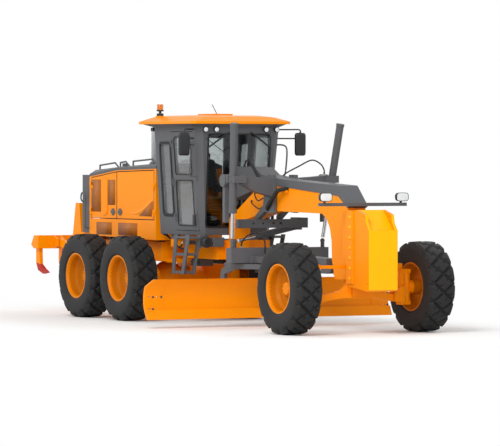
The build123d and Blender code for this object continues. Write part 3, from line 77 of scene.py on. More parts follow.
# %% [markdown]
# ## Camera, floor and light
# The photograph was taken from far away with a long lens, nearly level with the machine's waist. That is why
# the wheels of the far side hardly look smaller. A camera fitted to the wheels and the cab gives the place
# and the turn below. The floor and the backdrop are one white sheet, as in a studio.

# %% Camera
IMAGE_WIDTH = 500
FOCAL_PIXELS = 3854.9
AZIMUTH, ELEVATION, ROLL = radians(61.64), radians(1.01), radians(0.09)
CAMERA_PLACE = at(55.48, -28.43, 2.63)

back = np.array([sin(AZIMUTH) * cos(ELEVATION), -cos(AZIMUTH) * cos(ELEVATION), sin(ELEVATION)])
right = np.array([cos(AZIMUTH), sin(AZIMUTH), 0.0])
up = np.cross(back, right)
right, up = cos(ROLL) * right + sin(ROLL) * up, cos(ROLL) * up - sin(ROLL) * right
camera_data = bpy.data.cameras.new("long_lens")
camera_data.sensor_width = 36.0
camera_data.lens = FOCAL_PIXELS * camera_data.sensor_width / IMAGE_WIDTH
camera_data.clip_end = 400.0
camera = bpy.data.objects.new("camera", camera_data)
camera.matrix_world = Matrix.Translation(CAMERA_PLACE) @ Matrix(np.array([right, up, back]).T).to_4x4()
bpy.context.collection.objects.link(camera)
scene = bpy.context.scene
scene.camera = camera
scene.view_settings.view_transform = "Standard"
print("lens", round(camera_data.lens, 1), "mm at", round(float(np.linalg.norm(camera.location)), 1), "m")

# %% [markdown]
# Colours are written as the hex values that a paint maker or a screen shows. Shaders count in linear light,
# so one function turns a hex value over. Nodes are added by one small function too, which sets what is given
# as a value and links what is given as a socket.

# %% Colour and node helpers


def linear(hex_colour):
    """sRGB hex value to linear colour and alpha: c/12.92 below 0.04045, else ((c+0.055)/1.055)^2.4."""
    c = np.array([int(hex_colour[i : i + 2], 16) / 255 for i in (1, 3, 5)])
    c = np.where(c <= 0.04045, c / 12.92, ((c + 0.055) / 1.055) ** 2.4)
    return (*c.tolist(), 1.0)


def feed(node, inputs):
    """Sets a node's inputs, by name or number: a socket is linked, and a value is copied."""
    for name, value in dict(inputs).items():
        if isinstance(value, bpy.types.NodeSocket):
            node.id_data.links.new(value, node.inputs[name])
        else:
            node.inputs[name].default_value = value


def add(tree, kind, inputs=(), out=0, **settings):
    """Adds a node of that kind with its settings and inputs, and gives its output of that name or number."""
    node = tree.nodes.new("ShaderNode" + kind)
    for name, value in settings.items():
        setattr(node, name, value)
    feed(node, inputs)
    return node.outputs[out]


def start_material(name, **sockets):
    """A material with its Principled shader set, and the Object coordinates that its patterns read."""
    material = bpy.data.materials.new(name)
    material.use_nodes = True
    tree = material.node_tree
    shader = tree.nodes["Principled BSDF"]
    feed(shader, {socket.replace("_", " "): value for socket, value in sockets.items()})
    return material, tree, shader, add(tree, "TexCoord", out="Object")


ORANGE = "#F98F00"
print("orange enamel in linear light:", [round(v, 3) for v in linear(ORANGE)])

# %% Floor and backdrop
FLOOR_HALF = 260.0
WHITE = (1.0, 1.0, 1.0, 1.0)
paper, paper_tree, paper_shader, paper_place = start_material(
    "white_studio_paper", Base_Color=linear("#F4F4F3"), Roughness=0.9
)
# Near the machine the paper is lit and takes its shadow; further off it fades to the white of the wall.
squeezed = add(paper_tree, "VectorMath", {0: paper_place, 1: (0.13, 0.30, 0.0)}, operation="MULTIPLY")
distance = add(paper_tree, "VectorMath", {0: squeezed}, out="Value", operation="LENGTH")
fade = {"Value": distance, "From Min": 0.75, "From Max": 1.25}
far = add(paper_tree, "MapRange", fade, interpolation_type="SMOOTHSTEP")
seen_direct = add(paper_tree, "LightPath", out="Is Camera Ray")
white_share = add(paper_tree, "Math", {0: far, 1: seen_direct}, operation="MULTIPLY")
wall_white = add(paper_tree, "Emission", {"Color": WHITE, "Strength": 1.0})
lit_or_white = add(paper_tree, "MixShader", {0: white_share, 1: paper_shader.outputs[0], 2: wall_white})
feed(paper_tree.nodes["Material Output"], {"Surface": lit_or_white})

floor_mesh = bpy.data.meshes.new("floor")
corners = [(FLOOR_HALF * x, FLOOR_HALF * y, 0.0) for x, y in ((-1, -1), (1, -1), (1, 1), (-1, 1))]
floor_mesh.from_pydata(corners, [], [(0, 1, 2, 3)])
floor_mesh.materials.append(paper)
floor = bpy.data.objects.new("floor", floor_mesh)
bpy.context.collection.objects.link(floor)
print("floor", 2 * FLOOR_HALF, "m wide")

# %% Light
# The white sky shines less on the machine than it looks from the camera or in a reflection.
SKY_LIGHT = 0.52
world = bpy.data.worlds.new("studio")
world.use_nodes = True
scene.world = world
sky = world.node_tree
rays = add(sky, "LightPath").node.outputs
seen = add(sky, "Math", {0: rays["Is Camera Ray"], 1: rays["Is Glossy Ray"]}, operation="MAXIMUM")
seen = add(sky, "Math", {0: seen, 1: rays["Is Transmission Ray"]}, operation="MAXIMUM")
strength = add(sky, "MapRange", {"Value": seen, "To Min": SKY_LIGHT, "To Max": 1.0})
feed(sky.nodes["Background"], {"Color": WHITE, "Strength": strength})

LAMPS = {
    # name: place the lamp hangs at, size in metres, watts
    "key_softbox": ((14.0, -16.0, 17.0), 11.0, 3800),
    "fill_softbox": ((-17.0, -12.0, 12.0), 12.0, 1150),
    "back_softbox": ((-4.0, 18.0, 15.0), 12.0, 1500),
    "front_softbox": ((19.0, -9.0, 5.0), 10.0, 800),
}
for name, (place, size, watts) in LAMPS.items():
    lamp = bpy.data.lights.new(name, "AREA")
    lamp.size, lamp.energy = size, watts
    hung = bpy.data.objects.new(name, lamp)
    hung.location = place
    hung.rotation_euler = (-hung.location).to_track_quat("-Z", "Y").to_euler()
    bpy.context.collection.objects.link(hung)
print(len(LAMPS), "soft boxes")

# %% [markdown]
# ## Enamel paint
# The body is sheet steel under sprayed two-part enamel. It has three marks that tell the eye it is paint and
# not plastic: a faint orange-peel ripple of about 3 mm, soft light along every bent edge, and grime that
# gathers low down and fades upwards. Rounding hundreds of edges in the mesh would cost a million faces, so
# the Bevel node bends the shading normal near each edge. Comparing that normal with the true one also finds
# the edges, where paint wears thin and lightens.

# %% Enamel paints


def grime(tree, place, low, high, amount):
    """0 to 1: height falls off from low to high in metres, broken up by patches of about 0.3 m and 20 mm."""
    height = add(tree, "SeparateXYZ", {0: place}, out="Z")
    fade = add(tree, "MapRange", {"Value": height, "From Min": high, "From Max": low})
    patches = add(tree, "TexNoise", {"Vector": place, "Scale": 3.3, "Detail": 6.0, "Roughness": 0.65})
    specks = add(tree, "TexNoise", {"Vector": place, "Scale": 50.0, "Detail": 3.0})
    broken = add(tree, "Math", {0: patches, 1: specks}, operation="MULTIPLY")
    broken = add(tree, "MapRange", {"Value": broken, "From Min": 0.12, "From Max": 0.42})
    both = add(tree, "Math", {0: fade, 1: broken}, operation="MULTIPLY")
    return add(tree, "Math", {0: both, 1: amount}, operation="MULTIPLY")


def enamel(name, paint, thin_paint, dirt="#6E6152", low=0.2, high=1.5, dirt_amount=0.12, shine=0.30):
    """Sprayed enamel: paint colour, lighter thin_paint on edges, dirt below high, and a rippled surface."""
    material, tree, shader, place = start_material(
        name, Roughness=shine, IOR=1.45, Specular_IOR_Level=0.14, Coat_Weight=0.03, Coat_Roughness=0.10
    )
    rounded = add(tree, "Bevel", {"Radius": 0.007}, out="Normal", samples=4)
    true_normal = add(tree, "NewGeometry", out="Normal")
    agree = add(tree, "VectorMath", {0: rounded, 1: true_normal}, out="Value", operation="DOT_PRODUCT")
    edge = add(tree, "MapRange", {"Value": agree, "From Min": 0.98, "From Max": 0.80, "To Max": 0.35})
    worn = add(tree, "Mix", {0: edge, 6: linear(paint), 7: linear(thin_paint)}, out=2, data_type="RGBA")
    dirty = grime(tree, place, low, high, dirt_amount)
    colour = add(tree, "Mix", {0: dirty, 6: worn, 7: linear(dirt)}, out=2, data_type="RGBA")
    dull = add(tree, "MapRange", {"Value": dirty, "To Min": shine, "To Max": 0.85})
    peel = add(tree, "TexNoise", {"Vector": place, "Scale": 330.0, "Detail": 1.0})
    ripple = add(tree, "Bump", {"Height": peel, "Strength": 0.10, "Distance": 0.0004, "Normal": rounded})
    feed(shader, {"Base Color": colour, "Roughness": dull, "Normal": ripple})
    return material


orange = enamel("orange_enamel", ORANGE, "#FFAA20", dirt="#8A5F20", shine=0.34)
rim_orange = enamel("wheel_rim_enamel", "#E07F00", "#FFA520", dirt="#7A5518", shine=0.36)
# The dish inside the rim is painted a deeper orange than the rim: painted shade for its recess.
dish_shade_orange = enamel("wheel_dish_painted_shade", "#B86700", "#E08A18", dirt="#6A4A18", shine=0.42)
amber = enamel("amber_enamel", "#FFB400", "#FFC84A", dirt="#8A6A30", low=0.6, high=1.6, shine=0.38)
charcoal = enamel("charcoal_enamel", "#5A5B5E", "#8A8C90", dirt="#77716A", shine=0.42)
silver_paint = enamel(
    "heatproof_silver_paint", "#A9ACAE", "#C5C8CA", "#4C4540", low=2.4, high=3.0, dirt_amount=0.5, shine=0.5
)
red_paint = enamel("red_tooth_paint", "#B5281E", "#8F8A86", low=0.3, high=1.0, dirt_amount=0.5, shine=0.45)
print(len(bpy.data.materials), "materials so far")

# %% [markdown]
# ## Rubber, plastic, metals and glass
# Tyre rubber is matt and nearly black, with a bloom of dust. Grained plastic has shallow leather-like cells
# of about 1 mm, drawn at 3 mm so that they show at all. Cylinder rods are hard-chromed steel, ground round,
# so their scratches run across them. Window panes are thin safety glass with a weak grey tint.

# %% Rubber and plastic


def rubber(name, colour, dust, dust_amount, grain):
    """Matt rubber with a ripple of the given grain in metres, and dust in patches of about 60 mm."""
    material, tree, shader, place = start_material(name, Roughness=0.72, IOR=1.52, Specular_IOR_Level=0.35)
    patches = add(tree, "TexNoise", {"Vector": place, "Scale": 16.0, "Detail": 5.0, "Roughness": 0.7})
    spread = {"Value": patches, "From Min": 0.35, "From Max": 0.75, "To Max": dust_amount}
    dusty = {0: add(tree, "MapRange", spread), 6: linear(colour), 7: linear(dust)}
    ripple = add(tree, "TexNoise", {"Vector": place, "Scale": 1 / grain, "Detail": 2.0})
    bump = add(tree, "Bump", {"Height": ripple, "Strength": 0.35, "Distance": grain / 8})
    feed(shader, {"Base Color": add(tree, "Mix", dusty, out=2, data_type="RGBA"), "Normal": bump})
    return material


def grained_plastic(name, colour, shine=0.5):
    """Injection-moulded plastic whose mould was etched with small cells, 3 mm across."""
    material, tree, shader, place = start_material(name, Base_Color=linear(colour), Roughness=shine, IOR=1.46)
    cells = {"Vector": place, "Scale": 330.0}
    etched = add(tree, "TexVoronoi", cells, out="Distance", feature="DISTANCE_TO_EDGE")
    bump = add(tree, "Bump", {"Height": etched, "Strength": 0.25, "Distance": 0.0004})
    patches = add(tree, "TexNoise", {"Vector": place, "Scale": 9.0, "Detail": 4.0})
    worn = add(tree, "MapRange", {"Value": patches, "To Min": shine - 0.08, "To Max": shine + 0.12})
    feed(shader, {"Roughness": worn, "Normal": bump})
    return material


tyre_rubber = rubber("tyre_rubber", "#161617", "#3A3835", 0.18, 0.004)
# The tyre's grooves take a darker rubber than its blocks: painted shade for the grooves.
groove_painted_shade_rubber = rubber("tyre_groove_painted_shade", "#08080A", "#1E1C1A", 0.10, 0.004)
hose_rubber = rubber("hose_rubber", "#161617", "#4A4845", 0.20, 0.002)
seal_rubber = rubber("window_seal_rubber", "#1B1B1C", "#3E3C3A", 0.20, 0.002)
black_plastic = grained_plastic("grained_black_plastic", "#202123")
print("rubbers and plastic made")

# %% Metals


def bare_metal(name, colour, roughness, scratch_axis, scratch_mm, strength=0.15):
    """Bare metal whose scratches are long along one axis: noise squeezed thirty times across the others."""
    material, tree, shader, place = start_material(
        name, Base_Color=linear(colour), Metallic=1.0, Roughness=roughness
    )
    stretch = [1000 / scratch_mm] * 3
    stretch[scratch_axis] /= 30
    squeezed = add(tree, "Mapping", {"Vector": place, "Scale": stretch})
    scratches = add(tree, "TexNoise", {"Vector": squeezed, "Scale": 1.0, "Detail": 3.0})
    rough = {"Value": scratches, "To Min": roughness * 0.6, "To Max": roughness * 1.6}
    bump = add(tree, "Bump", {"Height": scratches, "Strength": strength, "Distance": 0.0003})
    feed(shader, {"Roughness": add(tree, "MapRange", rough), "Normal": bump})
    return material


rod_chrome = bare_metal("hard_chromed_rod_steel", "#C8CBCE", 0.16, 0, 6.0, strength=0.05)
zinc_steel = bare_metal("zinc_plated_bolt_steel", "#B4B2A8", 0.35, 2, 3.0)

# Iron cast in sand keeps the grit of its mould, which gives a dark and mottled skin.
cast_iron, iron_tree, iron_shader, iron_place = start_material("sand_cast_iron", Roughness=0.75, IOR=1.6)
skin = add(iron_tree, "TexNoise", {"Vector": iron_place, "Scale": 180.0, "Detail": 4.0, "Roughness": 0.7})
iron_colour = add(iron_tree, "ValToRGB", {"Fac": skin})
for stop, shade in zip(iron_colour.node.color_ramp.elements, ("#2A2A2B", "#4C4A47")):
    stop.color = linear(shade)
grit = add(iron_tree, "Bump", {"Height": skin, "Strength": 0.5, "Distance": 0.002})
feed(iron_shader, {"Base Color": iron_colour, "Normal": grit})
print("metals made")

# %% Glass, lenses and mirror


def clear_pane(name, colour, roughness=0.0, ior=1.45, dirt=0.10, clear=1.0):
    """Glass or clear plastic: light passes and takes the colour, and a film of dust gathers in patches."""
    material, tree, shader, place = start_material(
        name, Base_Color=linear(colour), Roughness=roughness, IOR=ior, Transmission_Weight=clear
    )
    film = add(tree, "TexNoise", {"Vector": place, "Scale": 2.5, "Detail": 8.0, "Roughness": 0.7})
    film = {"Value": film, "From Min": 0.45, "From Max": 0.8, "To Min": roughness, "To Max": roughness + dirt}
    feed(shader, {"Roughness": add(tree, "MapRange", film)})
    return material


cab_glass = clear_pane("tinted_safety_glass", "#CDD2D2")
door_glass = clear_pane("smoked_door_glass", "#C2C6C7", dirt=0.2, clear=0.78)

# The beacon's lens is moulded with rings that scatter its light.
beacon_lens = clear_pane("moulded_orange_lens", "#F5861A", roughness=0.08, ior=1.49)
lens_tree = beacon_lens.node_tree
lens_place = add(lens_tree, "TexCoord", out="Object")
rings = add(lens_tree, "TexWave", {"Vector": lens_place, "Scale": 40.0}, bands_direction="Z")
lens_bump = add(lens_tree, "Bump", {"Height": rings, "Strength": 0.6, "Distance": 0.002})
feed(lens_tree.nodes["Principled BSDF"], {"Normal": lens_bump})

# A mirror is glass silvered behind; smears of dust dull it in patches.
mirror_glass, mirror_tree, mirror_shader, mirror_place = start_material(
    "silvered_mirror", Base_Color=linear("#DADDE0"), Metallic=1.0, Roughness=0.02
)
smears = add(mirror_tree, "TexNoise", {"Vector": mirror_place, "Scale": 14.0, "Detail": 4.0})
smears = add(mirror_tree, "MapRange", {"Value": smears, "From Min": 0.5, "To Min": 0.02, "To Max": 0.12})
feed(mirror_shader, {"Roughness": smears})
print("glass made")

# %% [markdown]
# ## Seat cloth
# Grader seats are covered in a hard-wearing plain weave, about 2 mm between threads. Two waves at right
# angles stand for warp and weft. At this camera's distance a thread is far below a pixel, so it is drawn at
# 12 mm.

# %% Seat cloth
seat_cloth, cloth_tree, cloth_shader, cloth_place = start_material(
    "woven_seat_cloth", Roughness=0.9, Sheen_Weight=0.35
)
threads = {"Vector": cloth_place, "Scale": 26.0}
warp, weft = (add(cloth_tree, "TexWave", threads, bands_direction=way) for way in "XY")
weave = add(cloth_tree, "Math", {0: warp, 1: weft}, operation="MULTIPLY")
dyed = add(cloth_tree, "Mix", {0: weave, 6: linear("#1E1F22"), 7: linear("#4A4C52")}, out=2, data_type="RGBA")
cloth_bump = add(cloth_tree, "Bump", {"Height": weave, "Strength": 0.5, "Distance": 0.001})
feed(cloth_shader, {"Base Color": dyed, "Normal": cloth_bump})
print("cloth made")

# %% [markdown]
# ## Surfaces from numbers
# Every added piece is a grid of points worked out by numpy as whole arrays. One helper turns grids into a
# mesh. Others make the forms that this machine needs most: a round bar or hose carried along a smooth path, a
# flat plate, and a profile turned round an axis.

# %% Grid meshes
pieces_made = []


def joined(name, parts, material, body, smooth=True, angle=40):
    """Puts (points, quads) pairs into one piece at the origin, with its finish, riding on a body."""
    starts = np.cumsum([0] + [len(points) for points, _ in parts[:-1]])
    faces = np.concatenate([quads + start for (_, quads), start in zip(parts, starts)])
    points = np.concatenate([points for points, _ in parts])
    mesh = bpy.data.meshes.new(name)
    mesh.vertices.add(len(points))
    mesh.vertices.foreach_set("co", points.astype(np.float32).ravel())
    mesh.loops.add(faces.size)
    mesh.loops.foreach_set("vertex_index", faces.ravel().astype(np.int32))
    mesh.polygons.add(len(faces))
    mesh.polygons.foreach_set("loop_start", np.arange(0, faces.size, faces.shape[1], dtype=np.int32))
    mesh.update(calc_edges=True)
    mesh.validate()
    mesh.materials.append(material)
    if smooth:
        mesh.shade_smooth()
        mesh.set_sharp_from_angle(angle=radians(angle))
    piece = bpy.data.objects.new(name, mesh)
    bpy.context.collection.objects.link(piece)
    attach(piece, body)
    pieces_made.append(piece)
    return piece


def outward(points, faces):
    """Closed surface with its faces turned over if its volume, a sum of tetrahedra, comes out negative."""
    a, b, c, d = np.moveaxis(points[faces], 1, 0)
    volume = np.einsum("ij,ij->i", a, np.cross(b, c) + np.cross(c, d)).sum()
    return points, faces if volume > 0 else faces[:, ::-1]


def closed(grid, ring=False, capped=True):
    """Closed surface from a grid of points, rows x columns x 3, whose rows are loops.

    Point (i, j) makes a quad with (i+1, j), (i+1, j+1) and (i, j+1). ring joins the last row to the first.
    Otherwise the end rows are capped to their middles, unless they are points already.
    """
    if capped and not ring:
        foot, head = (grid[k : k + 1] * 0 + grid[k].mean(axis=0) for k in (0, len(grid) - 1))
        grid = np.concatenate([foot, grid, head])
    rows, columns = grid.shape[:2]
    i, j = np.arange(rows if ring else rows - 1)[:, None], np.arange(columns)[None, :]
    i2, j2 = (i + 1) % rows, (j + 1) % columns
    quads = np.stack([i * columns + j, i2 * columns + j, i2 * columns + j2, i * columns + j2], axis=-1)
    return outward(grid.reshape(-1, 3), quads.reshape(-1, 4))


print("mesh helpers ready")

# %% Bars, plates and turned profiles


def smooth_path(points, samples):
    """Catmull-Rom line through the points: each span is a cubic that leaves along its neighbours' chord."""
    p = np.asarray(points, dtype=float)
    p = np.vstack([2 * p[0] - p[1], p, 2 * p[-1] - p[-2]])
    t = np.linspace(0, len(p) - 3 - 1e-9, samples)
    i = t.astype(int)
    f = (t - i)[:, None]
    a, b, c, d = p[i], p[i + 1], p[i + 2], p[i + 3]
    return 0.5 * (2 * b + (c - a) * f + (2 * a - 5 * b + 4 * c - d) * f**2 + (3 * b - a - 3 * c + d) * f**3)


def carried_circle(path, radius, sides=12, swell=None):
    """A circle carried along a path: each point is path + radius*swell*(cos v * n + sin v * b)."""
    path = np.asarray(path, dtype=float)
    along = np.gradient(path, axis=0)
    along /= np.linalg.norm(along, axis=1, keepdims=True)
    first = np.array([0.0, 0.0, 1.0]) if abs(along[0, 2]) < 0.8 else np.array([1.0, 0.0, 0.0])
    normal = first - along * (along @ first)[:, None]
    weak = np.linalg.norm(normal, axis=1) < 0.2
    second = np.array([0.0, 1.0, 0.0])
    normal[weak] = (second - along * (along @ second)[:, None])[weak]
    normal /= np.linalg.norm(normal, axis=1, keepdims=True)
    other = np.cross(along, normal)
    angle = np.linspace(0, tau, sides, endpoint=False)[None, :, None]
    size = radius * (np.ones(len(path)) if swell is None else swell)[:, None, None]
    ring = size * (np.cos(angle) * normal[:, None] + np.sin(angle) * other[:, None])
    return closed(path[:, None] + ring)


def tube(places, radius, sides=12, samples=0, side=1):
    """Round bar through rows of places, straight from one to the next or smoothed to a number of samples."""
    path = at_all(places, side)
    return carried_circle(smooth_path(path, samples) if samples else path, radius, sides)


def slab(corners, thickness):
    """Closed plate: corners is a 4 x 3 array, and thickness the vector from its first face to its second."""
    points = np.concatenate([corners, np.add(corners, thickness)])
    walls = [(k, (k + 1) % 4, 4 + (k + 1) % 4, 4 + k) for k in range(4)]
    return outward(points, np.array([(0, 3, 2, 1), (4, 5, 6, 7), *walls]))


def brick(low, high):
    """Closed block between two opposite corners, each given as forward, sideways and height."""
    (x0, y0, z0), (x1, y1, z1) = low, high
    return slab(at_all([(x0, y0, z0), (x1, y0, z0), (x1, y1, z0), (x0, y1, z0)]), (0, 0, z1 - z0))


def disc_stack(centre, axis, profile, sides):
    """Turned stack: centre + along*axis + radius*(cos a, sin a) for each (along, radius) of the profile."""
    axis = np.asarray(axis, dtype=float) / np.linalg.norm(axis)
    first = np.cross(axis, (0, 0, 1) if abs(axis[2]) < 0.9 else (1, 0, 0))
    first /= np.linalg.norm(first)
    second = np.cross(axis, first)
    angle = np.linspace(0, tau, sides, endpoint=False)
    ring = np.cos(angle)[:, None] * first + np.sin(angle)[:, None] * second
    along, radius = np.asarray(profile, dtype=float).T[:, :, None, None]
    return closed(centre + along * axis + radius * ring)


print("form helpers ready")

# %% [markdown]
# ## Tyres
# The tread is a rock pattern: two families of grooves run slantwise over the crown and cross, which leaves
# lozenge blocks, and each block has a short cut in its middle. It is drawn as a height field on a turned
# profile. For a point at turn a and place v across the tread, the distance to the nearest line of each
# family says how deep the groove is there. That gives the real step between block and groove, which a bump
# map can't show on the outline.

# %% Tyres with their tread
PITCHES = 15
POINTS_EACH_PITCH = 26
GROOVE_DEPTH = 0.032
GROOVE_HALF = 0.0170
GROOVE_LEAN = 0.62
TREAD_HALF = 0.190
CROWN_HALF = TREAD_HALF + 0.014
crown = np.linspace(-1, 1, 45)
sidewall = np.array([
    # outboard of the tyre's middle, radius: from the bead to the shoulder
    (0.181, 0.3505), (0.192, 0.372), (0.207, 0.392), (0.214, 0.396), (0.216, 0.408),
    (0.2215, 0.46), (0.222, 0.52), (0.219, 0.560), (0.217, 0.575), (0.212, 0.592),
])


def tread_depth(turns, across):
    """Depth of the grooves: turns counts pitches round the tyre, across runs -1 to 1 between the shoulders.

    It falls with the distance in metres from the lines turns +- 0.62*across = whole number, and from the cut
    in each block.
    """
    pitch = tau * TYRE_RADIUS / PITCHES
    steep = np.hypot(1.0, GROOVE_LEAN * pitch / TREAD_HALF)

    def groove(phase, half):
        """1 inside a groove of that half width, falling to 0 over its slanted wall."""
        distance = np.abs(phase - np.round(phase)) * pitch / steep
        return np.clip((half - distance) / (GROOVE_HALF * 0.9), 0, 1)

    leaning, crossing = turns + GROOVE_LEAN * across, turns - GROOVE_LEAN * across
    deep = np.maximum(groove(leaning, GROOVE_HALF * 1.5), groove(crossing, GROOVE_HALF * 1.5))
    short = np.abs(crossing - np.round(crossing)) < 0.30
    cut = groove(leaning + 0.5, GROOVE_HALF * 1.2) * short * 0.6
    return np.maximum(deep, cut) * GROOVE_DEPTH


def tyre_surface(centre, side):
    """Turned tyre: sidewall rings, and a crown whose radius drops to its shoulders and into the grooves."""
    steps = PITCHES * POINTS_EACH_PITCH
    angle = np.linspace(0, tau, steps, endpoint=False)[:, None]
    from_middle = np.abs(crown)
    crown_radius = TYRE_RADIUS - 0.010 * from_middle**2 - 0.045 * np.clip(from_middle - 0.86, 0, 1) / 0.14
    depth = tread_depth(angle / tau * PITCHES, crown[None, :])
    blocks = crown_radius[None, :] - depth * np.clip((1.12 - from_middle) * 6, 0, 1)
    out = np.concatenate([-sidewall[:, 0], crown * CROWN_HALF, sidewall[::-1, 0]])[None, :]
    low, high = sidewall[:, 1][None, :] + 0 * angle, sidewall[::-1, 1][None, :] + 0 * angle
    radius = np.concatenate([low, blocks, high], axis=1)
    grid = np.stack([radius * np.sin(angle), side * out + 0 * angle, radius * np.cos(angle)], axis=-1)
    points, faces = closed(centre + grid, ring=True)
    # Faces that lie deep in a groove are marked for the darker rubber, which is painted shade.
    deep = np.concatenate([0 * low, depth, 0 * high], axis=1).ravel()[faces].min(axis=1)
    return points, faces, deep > 0.45 * GROOVE_DEPTH


for place_name, (wheel_x, sideways) in WHEELS.items():
    for side_name, side in SIDES.items():
        tyre = f"tyre_{place_name}_{side_name}"
        *surface, in_shaded_groove = tyre_surface(at(wheel_x, side * sideways, TYRE_RADIUS), side)
        piece = joined(f"{tyre}_tread", [surface], tyre_rubber, f"wheel_{place_name}_{side_name}", angle=28)
        # Faces deep in the grooves are painted darker, as shade.
        piece.data.materials.append(groove_painted_shade_rubber)
        piece.data.polygons.foreach_set("material_index", in_shaded_groove.astype(np.int32))
        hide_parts(tyre)
print("tyre faces:", len(in_shaded_groove))

# %% [markdown]
# ## The cab's rubber, wipers and rails
# The cab's side walls lean out towards the roof, 68 mm for each metre of height, and its front leans forward.
# Two short functions give the wall's place at any height, and everything that is fixed to the wall uses them.
# A window seal is a flat rubber band round the hole: a ring of four loops, each a rounded rectangle.

# %% Window seals
CAB_FLOOR_Z = 1.38
SEAL_STAND = (0.002, 0.012)


def side_wall(z):
    """Half width of the cab's outside at height z: 0.630 m at its floor, 0.068 more for each metre up."""
    return 0.630 + 0.06805 * (z - CAB_FLOOR_Z)


def front_wall(z):
    """Forward reach of the cab's front at height z: 2.350 m at its floor, 0.071 more for each metre up."""
    return 2.350 + 0.0710 * (z - CAB_FLOOR_Z)


def rounded_loop(low, high, radius, each=7):
    """Points of a rectangle whose corners are arcs: centre + radius*(cos a, sin a) through a quarter turn."""
    (x0, y0), (x1, y1) = np.add(low, radius), np.subtract(high, radius)
    centres = np.array([(x1, y1), (x0, y1), (x0, y0), (x1, y0)])
    turned = np.linspace(0, pi / 2, each)[None, :] + np.arange(4)[:, None] * pi / 2
    arcs = centres[:, None, :] + radius * np.stack([np.cos(turned), np.sin(turned)], axis=-1)
    return arcs.reshape(-1, 2)


def seal_ring(low, high, width, radius, spread):
    """Band round a window: outer and inner loop, each at its foot and face. spread lays them on the wall."""
    outer = rounded_loop(np.subtract(low, width), np.add(high, width), radius + width)
    inner = rounded_loop(low, high, radius)
    foot, face = SEAL_STAND
    loops = [spread(outer, foot), spread(outer, face), spread(inner, face), spread(inner, foot)]
    return closed(np.stack(loops, axis=1), ring=True)


def on_side(side):
    """Gives the function that lays window seals on the cab's wall of one side."""

    def spread(flat, off):
        """Lays (forward, height) points on the side wall, off metres from it."""
        x, z = flat.T
        return at_all(np.column_stack([x, side_wall(z) + off, z]), side)

    return spread


def on_front(flat, off):
    """Lays (sideways, height) points on the cab's front wall, off metres from it."""
    return at_all(np.column_stack([front_wall(flat[:, 1]) + off, flat]))


seals = [seal_ring((1.175, 1.700), (1.495, 2.800), 0.040, 0.045, on_side(side)) for side in SIDES.values()]
seals.append(seal_ring((-0.535, 1.515), (0.535, 2.945), 0.022, 0.060, on_front))
joined("cab_window_seals", seals, seal_rubber, "front", angle=50)
DOOR_PANES = ((1.535, 2.225), (2.335, 2.905))
for side_name, side in SIDES.items():
    panes = [seal_ring((1.655, low), (2.200, high), 0.012, 0.040, on_side(side)) for low, high in DOOR_PANES]
    joined(f"door_pane_seals_{side_name}", panes, seal_rubber, f"door_{side_name}", angle=50)
print(len(seals), "window seals and two on each door")

# %% Wipers, grab rails and antenna
ARM_OFF, BLADE_OFF = 0.03, 0.018


def on_pane(places, off):
    """Rows of forward, sideways and height from (sideways, height) places, standing off the front glass."""
    return [(front_wall(z) + off, y, z) for y, z in places]


wipers = [tube(on_pane([(-0.604, 2.898), (-0.45, 2.79), (-0.263, 2.661)], ARM_OFF), 0.006, 8)]
for side in SIDES.values():
    wipers.append(tube(on_pane([(0.180, 2.985), (0.209, 2.978), (0.38, 2.86)], ARM_OFF), 0.009, 8, side=side))
    blade_ends = [(0.225, 2.966), (0.559, 2.740)]
    wipers.append(tube(on_pane(blade_ends, BLADE_OFF), 0.014, 8, side=side))
joined("wipers", wipers, black_plastic, "front")

GRAB_RAIL = [
    (2.300, 0.722, 2.790), (2.330, 0.830, 2.790), (2.420, 0.850, 2.760), (2.456, 0.850, 2.680),
    (2.440, 0.850, 2.520), (2.406, 0.845, 2.340), (2.390, 0.810, 2.300), (2.385, 0.700, 2.295),
]
rails = [tube(GRAB_RAIL, 0.013, samples=60, side=side) for side in SIDES.values()]
joined("cab_grab_rails", rails, charcoal, "front")

ANTENNA = [(1.731, 0, 3.245), (1.700, 0, 3.280), (1.548, 0, 3.425)]
joined("antenna", [tube(ANTENNA, 0.006, 8, samples=20)], black_plastic, "front")
print("wipers, rails and antenna made")

# %% [markdown]
# ## Hood trim
# The hood's doors carry fine perforated screens in front of their slots, and a swoosh is pressed into each
# front door. A screen's holes are 5 mm on a 7.5 mm pitch, so they are drawn by two crossed waves: where both
# are high there is a hole, painted dark as the shade of the engine bay behind it.

# %% Perforated sheet and the screens' outlines
SCREEN_PITCH = 0.00754
# The wave texture at scale 1 has its bands this many metres apart.
WAVE_STEP = tau / 20
screen_sheet, screen_tree, screen_shader, screen_place = start_material(
    "perforated_screen_painted_hole_shade", Roughness=0.5, Specular_IOR_Level=0.3
)
pattern = {"Vector": screen_place, "Scale": WAVE_STEP / SCREEN_PITCH}
across, upward = (add(screen_tree, "TexWave", pattern, bands_direction=way) for way in "XZ")
holes = add(screen_tree, "Math", {0: across, 1: upward}, operation="MULTIPLY")
holes = add(screen_tree, "MapRange", {"Value": holes, "From Min": 0.25, "From Max": 0.45})
# The holes are painted a dark brown that stands for the shade of the engine bay seen through them.
sheet_and_hole_shade = {0: holes, 6: linear("#B8680A"), 7: linear("#3E260C")}
pressed = add(screen_tree, "Bump", {"Height": holes, "Strength": 0.4, "Distance": 0.001}, invert=True)
painted = add(screen_tree, "Mix", sheet_and_hole_shade, out=2, data_type="RGBA")
feed(screen_shader, {"Base Color": painted, "Normal": pressed})

